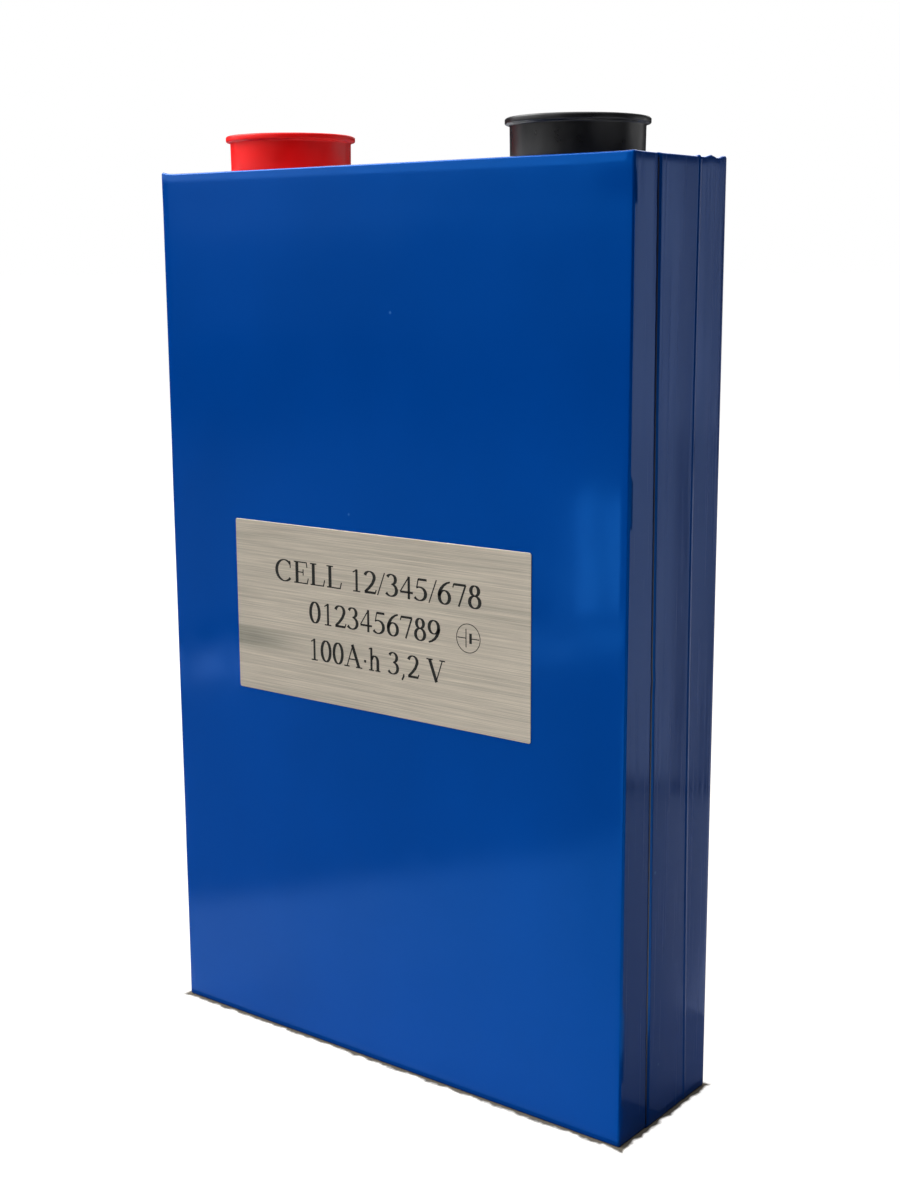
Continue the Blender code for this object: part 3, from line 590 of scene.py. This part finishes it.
def film_base():
    """The wrap folded shut under the cell: two end flaps, then the two long flaps lapped over them."""
    half_x, half_y = FILM_HIGH.x - 1.2 * MM, FILM_HIGH.y - 1.2 * MM
    softened = 0.03 * MM
    deep = 15.0 * MM
    for name, side in (("left", -1), ("right", 1)):
        outline = [(side * half_x, -half_y), (side * half_x, half_y)]
        outline += [(side * (half_x - deep), half_y - deep), (side * (half_x - deep), deep - half_y)]
        if side < 0:
            outline.reverse()
        flap = slab(f"film_base_{name}", outline, 0.28 * MM, 0.38 * MM, softened)
        add_piece(flap, LOOKS["blue_film"])
    past_middle, slant = 3.0 * MM, 14.0 * MM
    for name, side, low in (("back", 1, 0.15 * MM), ("front", -1, 0.03 * MM)):
        outline = [(-half_x, side * half_y), (half_x, side * half_y)]
        outline += [(half_x - slant, -side * past_middle), (slant - half_x, -side * past_middle)]
        if side > 0:
            outline.reverse()
        flap = slab(f"film_base_{name}", outline, low, low + 0.1 * MM, softened)
        add_piece(flap, LOOKS["blue_film"])


# Label --------------------------------------------------------------------------------------

LABEL_FRONT = FILM_LOW.y - 0.16 * MM
LABEL_BACK = FILM_LOW.y - 0.03 * MM
# How far the ink stands off the foil
INK = 0.02 * MM


def rating_label():
    """The foil sticker, with its corners slightly rounded and its edge a little pressed down."""
    rings = []
    for y, inset in ((LABEL_BACK, 0.0), (LABEL_FRONT + 0.04 * MM, 0.0), (LABEL_FRONT, 0.05 * MM)):
        low = (LABEL_LOW.x + inset, LABEL_LOW.z + inset)
        high = (LABEL_HIGH.x - inset, LABEL_HIGH.z - inset)
        rings.append([(x, y, z) for x, z in rounded_outline(low, high, 0.5 * MM)])
    label = loft("rating_label_foil", rings, sharp=20.0)
    add_piece(label, LOOKS["label_foil"], replaces=["rating_label"])


CAP_HEIGHT = 5.1 * MM
# Pen widths in capital heights, and how sharply a pen goes from thin to thick as its stroke turns upright
PEN_THICK, PEN_THIN, PEN_BAR = 0.165, 0.055, 0.105
PEN_TURN = 1.4


def oval(x, y, across, up, start, end, steps=20):
    """Points round an ellipse, with the angles in degrees."""
    return [(x + across * px, y + up * py) for px, py in arc(0.0, 0.0, 1.0, start, end, steps)]


def turned_over(strokes, width):
    """The strokes of a glyph of that width, upside down."""
    return [([(width - x, 1.0 - y) for x, y in points], pen) for points, pen in strokes]


def serif(x, y, reach=0.16):
    """A thin level stroke about (x, y)."""
    return ([(x - reach, y), (x + reach, y)], PEN_THIN)


# Each glyph is (advance, strokes), in capital heights. A stroke is its points and its pen: a width, or
# None for a pen that draws upright lines thick and level ones thin. The full stop is a raised dot.
SIX = [
    ([(0.66, 0.985), (0.5, 0.93), (0.34, 0.82), (0.21, 0.66), (0.13, 0.48), (0.11, 0.34)], None),
    (oval(0.38, 0.31, 0.255, 0.29, 0, 360), None),
]
GLYPHS = {
    "0": (0.75, [(oval(0.375, 0.5, 0.26, 0.47, 0, 360, 32), None)]),
    "1": (0.75, [
        ([(0.4, 0.0), (0.4, 0.99)], 0.12), ([(0.2, 0.85), (0.42, 0.98)], PEN_THIN),
        serif(0.4, 0.02, 0.19),
    ]),
    "2": (0.75, [
        (oval(0.35, 0.73, 0.25, 0.245, 165, -20) + [(0.5, 0.46), (0.33, 0.26), (0.1, 0.05)], None),
        ([(0.08, 0.05), (0.66, 0.05)], PEN_BAR), ([(0.64, 0.03), (0.7, 0.2)], PEN_THIN),
    ]),
    "3": (0.75, [
        (oval(0.33, 0.76, 0.22, 0.215, 155, -75), None),
        (oval(0.31, 0.29, 0.29, 0.265, 85, -150), None),
    ]),
    "4": (0.75, [
        ([(0.49, 0.0), (0.49, 0.99)], 0.12), ([(0.49, 0.97), (0.05, 0.31)], PEN_THIN),
        ([(0.04, 0.29), (0.7, 0.29)], 0.09),
    ]),
    "5": (0.75, [
        ([(0.23, 0.93), (0.66, 0.93)], PEN_BAR), ([(0.23, 0.95), (0.15, 0.57)], PEN_THIN),
        (oval(0.29, 0.31, 0.31, 0.29, 122, -145), None),
    ]),
    "6": (0.75, SIX),
    "7": (0.75, [
        ([(0.1, 0.93), (0.69, 0.93)], PEN_BAR), ([(0.68, 0.94), (0.34, 0.0)], 0.085),
        ([(0.1, 0.96), (0.05, 0.78)], PEN_THIN),
    ]),
    "8": (0.75, [
        (oval(0.375, 0.76, 0.19, 0.21, 0, 360), None), (oval(0.375, 0.28, 0.25, 0.26, 0, 360), None),
    ]),
    "9": (0.75, turned_over(SIX, 0.75)),
    "/": (0.42, [([(0.02, -0.02), (0.4, 1.0)], 0.055)]),
    " ": (0.38, []),
    ",": (0.38, [([(0.2, 0.1), (0.2, 0.0), (0.1, -0.17)], 0.09)]),
    ".": (0.38, [([(0.13, 0.37), (0.25, 0.37)], 0.12)]),
    "C": (1.0, [
        (oval(0.53, 0.5, 0.45, 0.485, 42, 318, 32), None), ([(0.87, 0.64), (0.85, 0.97)], PEN_THIN),
    ]),
    "E": (0.93, [
        ([(0.25, 0.0), (0.25, 1.0)], PEN_THICK), ([(0.08, 0.975), (0.8, 0.975)], PEN_THIN),
        ([(0.25, 0.52), (0.6, 0.52)], PEN_THIN), ([(0.08, 0.025), (0.84, 0.025)], PEN_THIN),
        ([(0.79, 1.0), (0.82, 0.75)], PEN_THIN), ([(0.6, 0.38), (0.6, 0.66)], PEN_THIN),
        ([(0.82, 0.0), (0.89, 0.27)], PEN_THIN),
    ]),
    "L": (0.93, [
        ([(0.25, 0.0), (0.25, 1.0)], PEN_THICK), serif(0.25, 0.975, 0.18),
        ([(0.08, 0.025), (0.82, 0.025)], PEN_THIN), ([(0.8, 0.0), (0.88, 0.3)], PEN_THIN),
    ]),
    "A": (1.08, [
        ([(0.17, 0.02), (0.53, 0.98)], 0.06), ([(0.5, 1.02), (0.89, 0.02)], PEN_THICK),
        ([(0.28, 0.35), (0.75, 0.35)], PEN_THIN), serif(0.16, 0.02), serif(0.9, 0.02, 0.19),
    ]),
    "V": (1.08, [
        ([(0.18, 0.98), (0.57, 0.0)], PEN_THICK), ([(0.55, 0.02), (0.9, 0.98)], 0.06),
        serif(0.18, 0.975, 0.18), serif(0.9, 0.975),
    ]),
    "h": (0.76, [
        ([(0.19, 0.0), (0.19, 1.03)], 0.12), ([(0.04, 0.95), (0.2, 1.02)], PEN_THIN),
        serif(0.19, 0.02, 0.15),
        (oval(0.38, 0.42, 0.19, 0.25, 160, 0) + [(0.57, 0.02)], None), serif(0.57, 0.02, 0.15),
    ]),
}
# A circle round the circuit symbol of a cell: a long thin plate, a short thick one and their two leads
CELL_SYMBOL = [
    (oval(0.65, 0.5, 0.62, 0.62, 0, 360, 48), 0.035),
    ([(0.53, 0.1), (0.53, 0.9)], 0.045),
    ([(0.77, 0.28), (0.77, 0.72)], 0.13),
    ([(0.08, 0.5), (0.53, 0.5)], 0.04),
    ([(0.77, 0.5), (1.22, 0.5)], 0.04),
]


def stroke_rings(points, pen):
    """The stroke's cross sections, and whether they join up into a ring."""
    closed = hypot(points[0][0] - points[-1][0], points[0][1] - points[-1][1]) < 1e-6
    if closed:
        points = points[:-1]
    count = len(points)
    rings = []
    for index, (x, y) in enumerate(points):
        before = points[index - 1] if closed or index else points[0]
        after = points[(index + 1) % count] if closed or index < count - 1 else points[-1]
        along_x, along_y = after[0] - before[0], after[1] - before[1]
        length = hypot(along_x, along_y)
        width = pen or PEN_THIN + (PEN_THICK - PEN_THIN) * (abs(along_y) / length) ** PEN_TURN
        side_x, side_y = -along_y / length * width / 2, along_x / length * width / 2
        left, right = (x + side_x, y + side_y), (x - side_x, y - side_y)
        rings.append([(*left, 0.0), (*right, 0.0), (*right, 1.0), (*left, 1.0)])
    return rings, closed


def print_strokes(name, strokes, x, z, across, up):
    """Ink strokes that stand on the foil, from (x, z), with their sizes in capital heights."""
    points, faces = [], []
    front, back = LABEL_FRONT - INK, LABEL_FRONT + 0.01 * MM
    for stroke, pen in strokes:
        rings, closed = stroke_rings(stroke, pen)
        base, last = len(points), len(rings) - 1
        for ring in rings:
            points += [(x + px * across, back if deep else front, z + py * up) for px, py, deep in ring]
        for row in range(last + 1 if closed else last):
            this, following = base + row * 4, base + (row + 1) % len(rings) * 4
            for side in range(4):
                beside = (side + 1) % 4
                faces.append((this + beside, this + side, following + side, following + beside))
        if not closed:
            faces.append((base, base + 1, base + 2, base + 3))
            faces.append(tuple(base + last * 4 + side for side in (3, 2, 1, 0)))
    add_piece(mesh_object(name, points, faces), LOOKS["label_ink"])


def print_line(name, words, start, end, z):
    """One printed line between two places along X, standing on z."""
    strokes, at = [], 0.0
    for letter in words:
        advance, drawn = GLYPHS[letter]
        strokes += [([(px + at, py) for px, py in points], pen) for points, pen in drawn]
        at += advance
    print_strokes(name, strokes, start, z, (end - start) / at, CAP_HEIGHT)


def label_print():
    """Generic wording and a plain cell symbol, in the places where such labels carry them."""
    print_line("label_print_upper", "CELL 12/345/678", -31.0 * MM, 29.0 * MM, 112.1 * MM)
    print_line("label_print_middle", "0123456789", -20.8 * MM, 17.8 * MM, 103.2 * MM)
    print_line("label_print_lower", "100A.h 3,2 V", -21.2 * MM, 19.0 * MM, 94.5 * MM)
    print_strokes("label_cell_symbol", CELL_SYMBOL, 21.9 * MM, 102.9 * MM, CAP_HEIGHT, CAP_HEIGHT)


# Terminals ----------------------------------------------------------------------------------


CAP_BODY = {"positive": "red_cap", "negative": "black_cap"}


def terminal_cap(end, look):
    """A moulded push-on cap: tapered skirt, rolled grip lip, dished top with the gate's small nib."""
    low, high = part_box(f"{end}_cap")
    x, y = (low.x + high.x) / 2, (low.y + high.y) / 2
    lip = high.x - x
    skirt = lip - 1.0 * MM
    inner = skirt - 1.0 * MM
    top, lip_low, roof = high.z, high.z - 1.35 * MM, high.z - 1.0 * MM
    nib, dish = top - 0.06 * MM, top - 0.14 * MM
    profile = [(AXIS_RADIUS, nib), (0.8 * MM, nib), (0.95 * MM, dish), (lip - 2.9 * MM, dish)]
    profile += [(lip - 2.5 * MM, top - 0.02 * MM), (lip - 1.3 * MM, top)]
    profile += arc(lip - 0.45 * MM, top - 0.45 * MM, 0.45 * MM, 90, 0, 8)
    profile += arc(lip - 0.35 * MM, lip_low + 0.35 * MM, 0.35 * MM, 0, -90, 6)
    profile += arc(skirt + 0.45 * MM, lip_low - 0.45 * MM, 0.45 * MM, 90, 180, 6)
    profile += [(skirt - 0.08 * MM, low.z + 1.2 * MM)]
    profile += arc(skirt - 0.3 * MM, low.z + 0.2 * MM, 0.2 * MM, 0, -90, 3)
    profile += arc(inner + 0.25 * MM, low.z + 0.25 * MM, 0.25 * MM, -90, -180, 3)
    profile += arc(inner - 0.5 * MM, roof - 0.5 * MM, 0.5 * MM, 0, 90, 5)
    profile += [(AXIS_RADIUS, roof)]
    cap = turned(f"{end}_cap_moulding", (x, y), profile[::-1], sharp=50.0)
    add_piece(cap, LOOKS[look], body=CAP_BODY[end], replaces=[f"{end}_cap"])


def terminal_pole(end, colour):
    """The terminal: a faced pad with a threaded blind hole, a neck and a rivet head below the cover."""
    low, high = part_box(f"{end}_pole")
    x = (low.x + high.x) / 2
    pad = (high.x - low.x) / 2
    top, pad_low, hole_low = high.z, high.z - 2.1 * MM, high.z - 7.0 * MM
    pitch, minor, major = 1.0 * MM, 2.46 * MM, 3.0 * MM
    thread_rows = spread(hole_low + 0.4 * MM, top - 0.35 * MM, 52)
    profile = [(AXIS_RADIUS, hole_low - 1.0 * MM), (minor - 0.1 * MM, hole_low)]
    profile += [(minor, hole_low + 0.3 * MM)]
    profile += [(minor, z) for z in thread_rows]
    profile += [(3.35 * MM, top - 0.02 * MM), (3.5 * MM, top), (pad - 0.35 * MM, top)]
    profile += [(pad - 0.1 * MM, top - 0.1 * MM), (pad, top - 0.32 * MM)]
    profile += [(pad, pad_low + 0.15 * MM), (pad - 0.15 * MM, pad_low), (4.0 * MM, pad_low)]
    profile += [(4.0 * MM, low.z + 1.0 * MM), (6.0 * MM, low.z + 1.0 * MM), (6.0 * MM, low.z + 0.3 * MM)]
    profile += [(5.7 * MM, low.z), (AXIS_RADIUS, low.z)]

    def thread(reach, z, angle):
        """Cuts the thread's groove where the profile runs down the hole's wall."""
        if reach != minor:
            return reach
        turn = (z / pitch - angle / (2 * pi)) % 1.0
        groove = min(1.0, max(0.0, 1.6 - 3.4 * abs(turn - 0.5)))
        fade = smooth(z, hole_low + 0.5 * MM, hole_low + 1.6 * MM)
        return minor + (major - minor) * groove * fade

    pole = turned(f"{end}_pole_faced", (x, 0.0), profile[::-1], radius=thread, sharp=35.0)
    look = turned_metal_look(f"{end}_pole_metal", colour, 0.32, x)
    add_piece(pole, look, replaces=[f"{end}_pole"])


def outer_insulator(end):
    """The moulded cup round the pad, with softened rims."""
    low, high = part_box(f"{end}_outer_insulator")
    x = (low.x + high.x) / 2
    outer, inner, hole = (high.x - low.x) / 2, 10.3 * MM, 5.2 * MM
    floor = low.z + 0.8 * MM
    profile = [(hole, low.z), (outer - 0.2 * MM, low.z), (outer, low.z + 0.2 * MM)]
    profile += arc(outer - 0.4 * MM, high.z - 0.4 * MM, 0.4 * MM, 0, 90, 5)
    profile += arc(inner + 0.3 * MM, high.z - 0.3 * MM, 0.3 * MM, 90, 180, 4)
    profile += [(inner, floor + 0.2 * MM), (inner - 0.2 * MM, floor), (hole, floor)]
    cup = turned(f"{end}_insulator_cup", (x, 0.0), profile, closed=True)
    add_piece(cup, LOOKS["black_plastic"], replaces=[f"{end}_outer_insulator"])


# Cover --------------------------------------------------------------------------------------


def vent_disc():
    """The burst disc: a stepped plate with a score line pressed into it."""
    low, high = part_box("vent_disc")
    length, width = high.x - low.x, high.y - low.y

    def ring(z, inset):
        return [(x, y, z) for x, y in obround_outline(length - 2 * inset, width - 2 * inset)]

    # (height, inset in millimetres), up the outside and in across the top
    steps = [(low.z, 0.05), (low.z + 0.05 * MM, 0.0), (high.z - 0.05 * MM, 0.0)]
    steps += [(high.z, 0.05), (high.z, 2.4)]
    steps += [(high.z - 0.12 * MM, 2.6), (high.z - 0.12 * MM, 3.4), (high.z - 0.22 * MM, 3.5)]
    steps += [(high.z - 0.12 * MM, 3.6), (high.z - 0.10 * MM, 5.2), (high.z - 0.04 * MM, 6.4)]
    rings = [ring(z, inset * MM) for z, inset in steps]
    disc = loft("vent_disc_scored", rings, sharp=25.0)
    add_piece(disc, LOOKS["aluminium"], replaces=["vent_disc"])


MARK_Y = 9.5 * MM
MARK_LONG, MARK_NARROW = 1.6 * MM, 0.3 * MM


def polarity_mark(name, x, bars):
    """A raised plus or minus on the cover, made of bars with softened edges, each a little higher."""
    for number, (across, along) in enumerate(bars):
        outline = rounded_outline((x - across, -along), (x + across, along), 0.18 * MM, 3)
        moved = [(px, py + MARK_Y) for px, py in outline]
        top = COVER_TOP + (0.10 + 0.01 * number) * MM
        mark = slab(f"{name}_{number}", moved, COVER_TOP - 0.05 * MM, top)
        add_piece(mark, LOOKS["aluminium"])


def fill_seal():
    """The welded disc over the filling hole, with the weld's ring of small ripples."""
    low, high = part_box("fill_seal_cap")
    x, reach = (low.x + high.x) / 2, (high.x - low.x) / 2
    profile = [(AXIS_RADIUS, low.z), (reach - 0.1 * MM, low.z), (reach, low.z + 0.1 * MM)]
    profile += [(reach, high.z - 0.12 * MM), (reach - 0.12 * MM, high.z - 0.02 * MM)]
    profile += [(reach - 0.5 * MM, high.z - 0.06 * MM)]
    profile += [(reach - 0.7 * MM, high.z - 0.03 * MM), (AXIS_RADIUS, high.z - 0.03 * MM)]
    seal = turned("fill_seal_disc", (x, 0.0), profile)
    add_piece(seal, LOOKS["aluminium"], replaces=["fill_seal_cap"])
    bead = []
    for turn in spread(0, 2 * pi, 10)[:-1]:
        out = reach + 0.15 * MM + 0.28 * MM * cos(turn)
        bead.append((out, high.z - 0.04 * MM + 0.1 * MM * sin(turn)))

    def ripple(out, z, angle):
        return out + 0.03 * MM * sin(angle * 44)

    weld = turned("fill_seal_weld", (x, 0.0), bead, closed=True, radius=ripple, steps=176)
    add_piece(weld, LOOKS["aluminium"])


# Carried-over CAD nodes ---------------------------------------------------------------------


def carry_over():
    """Every CAD node that stays takes the look of its material slot."""
    for subpart in frame["record"]["subparts"]:
        node = frame["nodes"][subpart["node"]]
        look = LOOKS[subpart["material_slot"]]
        if not node.data.materials:
            node.data.materials.append(look)
        for slot in node.material_slots:
            slot.material = look


# Stage --------------------------------------------------------------------------------------


# What the film mirrors of the floor, and what the camera sees of it in the cell's contact shadow
MIRRORED_GREY = (0.15, 0.15, 0.155, 1.0)
CONTACT_SHADOW = (0.16, 0.14, 0.11, 1.0)
# How far past the cell the shadow starts to fade and is gone, and how uneven that edge is
SHADOW_START, SHADOW_END, SHADOW_RAGGED = 0.5 * MM, 1.3 * MM, 0.45 * MM
# The level direction in which the paper card fades to the floor's grey
PAPER_EDGE_OUT = (-0.843, -0.538, 0.0)
# How far from the cell a card's glow has its near and its far value, in metres
GLOW_NEAR, GLOW_FAR = 0.15, 0.9


def floor():
    """A wide floor: white past the cell's contact shadow, and mirrored in the film as a grey table."""
    bpy.ops.mesh.primitive_grid_add(size=60.0, x_subdivisions=4, y_subdivisions=4, location=(0, 0, 0))
    made = bpy.context.object
    made.name = "floor"
    look = Look("floor", MIRRORED_GREY, 0.9, Specular_IOR_Level=0.0)
    seen = look.node("ShaderNodeLightPath").outputs["Is Camera Ray"]
    place = look.node("ShaderNodeSeparateXYZ", {"Vector": look.place})
    past_x = look.math("SUBTRACT", look.math("ABSOLUTE", place.outputs["X"], 0.0), FILM_HIGH.x)
    past_y = look.math("SUBTRACT", look.math("ABSOLUTE", place.outputs["Y"], 0.0), FILM_HIGH.y)
    past = look.math("MAXIMUM", past_x, past_y)
    uneven = look.math("ADD", past, look.span(look.noise(3.0), -SHADOW_RAGGED, SHADOW_RAGGED))
    far = look.span(uneven, 0.0, 1.0, SHADOW_START, SHADOW_END)
    look.colour(look.mix(seen, MIRRORED_GREY, CONTACT_SHADOW))
    look.links.new(look.math("MULTIPLY", far, seen), look.shader.inputs["Emission Strength"])
    look.shader.inputs["Emission Color"].default_value = WHITE
    made.data.materials.append(look.material)


def card(name, corners, brightness, height=0.5 * MM, glow=None, fade=None, lights=True):
    """
    A sheet on the floor, with its corners in millimetres, that the camera doesn't see but the film mirrors.
    glow is its own light, near and far. fade is where it darkens, in metres along PAPER_EDGE_OUT. Without
    lights it throws no light on what isn't glossy.
    """
    points = [(x * MM, y * MM, height) for x, y in corners]
    made = mesh_object(name, points, [tuple(range(len(corners)))])
    look = Look(name, (brightness, brightness, brightness, 1.0), 0.9, Specular_IOR_Level=0.0)
    tone = look.noise(30.0)
    paper = look.mix(tone, (brightness * 0.9,) * 3 + (1.0,), (brightness * 1.1,) * 3 + (1.0,))
    if fade:
        out = look.node(
            "ShaderNodeVectorMath", {0: look.place, 1: PAPER_EDGE_OUT}, operation="DOT_PRODUCT"
        )
        share = look.span(out.outputs["Value"], 0.0, 1.0, *fade, smoothly=True)
        paper = look.mix(share, paper, MIRRORED_GREY)
    look.colour(paper)
    if glow:
        reach = look.node("ShaderNodeVectorMath", {0: look.place}, operation="LENGTH")
        strength = look.span(reach.outputs["Value"], *glow, GLOW_NEAR, GLOW_FAR)
        look.links.new(strength, look.shader.inputs["Emission Strength"])
        look.shader.inputs["Emission Color"].default_value = WHITE
    made.data.materials.append(look.material)
    made.visible_camera = False
    made.visible_shadow = False
    made.visible_diffuse = lights


def softbox(
    name, azimuth, elevation, distance, width, height, radiance, aim=(0.0, 0.0, 0.1), lights=True
):
    """
    An area light that the camera doesn't see. azimuth is degrees to the left of the front, seen from above.
    Without lights it only shows in what is glossy.
    """
    data = bpy.data.lights.new(name, "AREA")
    data.shape = "RECTANGLE"
    data.size, data.size_y = width, height
    data.energy = radiance * pi * width * height
    made = bpy.data.objects.new(name, data)
    turn, rise = radians(azimuth), radians(elevation)
    direction = Vector((-sin(turn) * cos(rise), -cos(turn) * cos(rise), sin(rise)))
    made.location = Vector(aim) + direction * distance
    made.rotation_euler = direction.to_track_quat("Z", "Y").to_euler()
    made.visible_camera = False
    made.visible_diffuse = lights
    bpy.context.scene.collection.objects.link(made)


def world():
    """Dim round the cell, white for the camera, and a pale ceiling that only mirrors see."""
    made = bpy.data.worlds.new("studio")
    made.use_nodes = True
    nodes, links = made.node_tree.nodes, made.node_tree.links
    rays = nodes.new("ShaderNodeLightPath").outputs
    split = nodes.new("ShaderNodeSeparateXYZ")
    links.new(nodes.new("ShaderNodeTexCoord").outputs["Generated"], split.inputs["Vector"])
    ceiling = nodes.new("ShaderNodeMapRange")
    ceiling.interpolation_type = "SMOOTHSTEP"
    ceiling.inputs["From Min"].default_value = 0.22
    ceiling.inputs["From Max"].default_value = 0.5
    links.new(split.outputs["Z"], ceiling.inputs["Value"])
    mirrored = nodes.new("ShaderNodeMath")
    mirrored.operation = "MULTIPLY"
    links.new(ceiling.outputs["Result"], mirrored.inputs[0])
    links.new(rays["Is Glossy Ray"], mirrored.inputs[1])
    dim, pale = (0.035, 0.035, 0.04, 1.0), (0.3, 0.305, 0.315, 1.0)
    above, seen = nodes.new("ShaderNodeMix"), nodes.new("ShaderNodeMix")
    above.data_type = seen.data_type = "RGBA"
    above.inputs[6].default_value = dim
    above.inputs[7].default_value = pale
    seen.inputs[7].default_value = WHITE
    links.new(mirrored.outputs[0], above.inputs[0])
    links.new(above.outputs[2], seen.inputs[6])
    links.new(rays["Is Camera Ray"], seen.inputs[0])
    links.new(seen.outputs[2], nodes["Background"].inputs["Color"])
    bpy.context.scene.world = made


def camera():
    """The camera at the photograph's viewing angle: below the top edge, to the right of the front."""
    place = Vector((238.7, -300.4, 183.9)) * MM
    yaw, pitch, roll = radians(37.73), radians(11.11), radians(-0.29)
    forward = Vector((-sin(yaw) * cos(pitch), cos(yaw) * cos(pitch), -sin(pitch)))
    level = Vector((cos(yaw), sin(yaw), 0.0))
    upright = level.cross(forward)
    right = level * cos(roll) + upright * sin(roll)
    up = upright * cos(roll) - level * sin(roll)
    data = bpy.data.cameras.new("camera")
    data.sensor_width = 36.0
    data.lens = 51.05
    data.clip_start = 0.01
    made = bpy.data.objects.new("camera", data)
    made.matrix_world = Matrix.Translation(place) @ Matrix((right, up, -forward)).transposed().to_4x4()
    bpy.context.scene.collection.objects.link(made)
    bpy.context.scene.camera = made


camera()
carry_over()
insulation_film()
film_seam()
film_base()
rating_label()
label_print()
terminal_cap("positive", "red_cap")
terminal_cap("negative", "black_cap")
terminal_pole("positive", (0.78, 0.79, 0.81, 1.0))
terminal_pole("negative", (0.86, 0.38, 0.22, 1.0))
outer_insulator("positive")
outer_insulator("negative")
vent_disc()
fill_seal()
LEVEL_BAR, UPRIGHT_BAR = (MARK_LONG, MARK_NARROW), (MARK_NARROW, MARK_LONG)
polarity_mark("positive_mark", -24.5 * MM, [LEVEL_BAR, UPRIGHT_BAR])
polarity_mark("negative_mark", 24.5 * MM, [LEVEL_BAR])

world()
floor()
PAPER = [
    (70, -19), (-70, -19), (-160, -19), (-124, -66), (-89, -114), (-57, -171), (-35, -215), (70, -240)
]
card("paper", PAPER, 0.7, fade=(0.112, 0.140))
card("front_card", [(66, -40), (-100, -340), (-20, -500), (110, -500), (90, -40)], 0.8, height=0.7 * MM)
card("dark_strip", [(-412, -345), (-346, -284), (-178, -512), (-220, -600)], 0.01)
card("light_strip", [(-346, -284), (-311, -251), (-146, -468), (-178, -512)], 0.6, glow=(0.95, 0.35))
card("side_card", [(180, 216), (196, 206), (330, 260), (1500, 1150), (768, 1300)], 0.3, glow=(0.45, 0.7))
card("side_near", [(66, 0), (110, 0), (215, 175), (150, 222), (66, 60)], 0.42)
# A dark strip on the floor, mirrored in the +X side: a painted shadow line
card("side_shadow_strip", [(180, 199), (187, 213), (160, 232), (150, 222)], 0.01, height=1.0 * MM)
softbox("key_left", 58.0, 33.0, 1.3, 1.7, 1.3, 2.2, aim=(0.0, 0.0, 0.15))
softbox("front", 5.0, 30.0, 1.4, 0.6, 1.2, 1.9, aim=(0.0, 0.0, 0.2))
softbox("top", 10.0, 82.0, 1.3, 1.3, 1.3, 2.6)
softbox("window", 72.0, 46.0, 1.3, 0.8, 0.5, 8.0)
softbox("back_right", -140.75, 0.0, 1.5, 0.617, 0.34, 0.98, aim=(0.065, 0.0, 0.17))
softbox("ridge_line", -165.0, 0.0, 1.5, 0.34, 0.34, 1.2, aim=(0.065, 0.0, 0.17), lights=False)
card("ridge_card", [(72, 50), (88, 50), (560, 1200), (240, 1200)], 0.3, glow=(0.8, 1.1), lights=False)
softbox("low_left", 29.0, 1.2, 1.6, 1.1, 0.25, 0.22, aim=(0.0, 0.0, 0.2))
softbox("low_left_upper", 29.0, 3.6, 1.6, 1.1, 0.15, 0.42, aim=(0.0, 0.0, 0.2))
softbox("back_left", 150.0, 32.0, 1.5, 1.1, 1.1, 2.6)
card("right_floor", [(90, -70), (2600, -1500), (2600, 1000), (120, 30)], 0.5, glow=(1.1, 0.6), lights=False)
softbox("glint", 33.5, -13.5, 0.30, 0.025, 0.043, 2.4, aim=(0.068, -0.018, 0.148))
bpy.context.scene.view_settings.view_transform = "Standard"
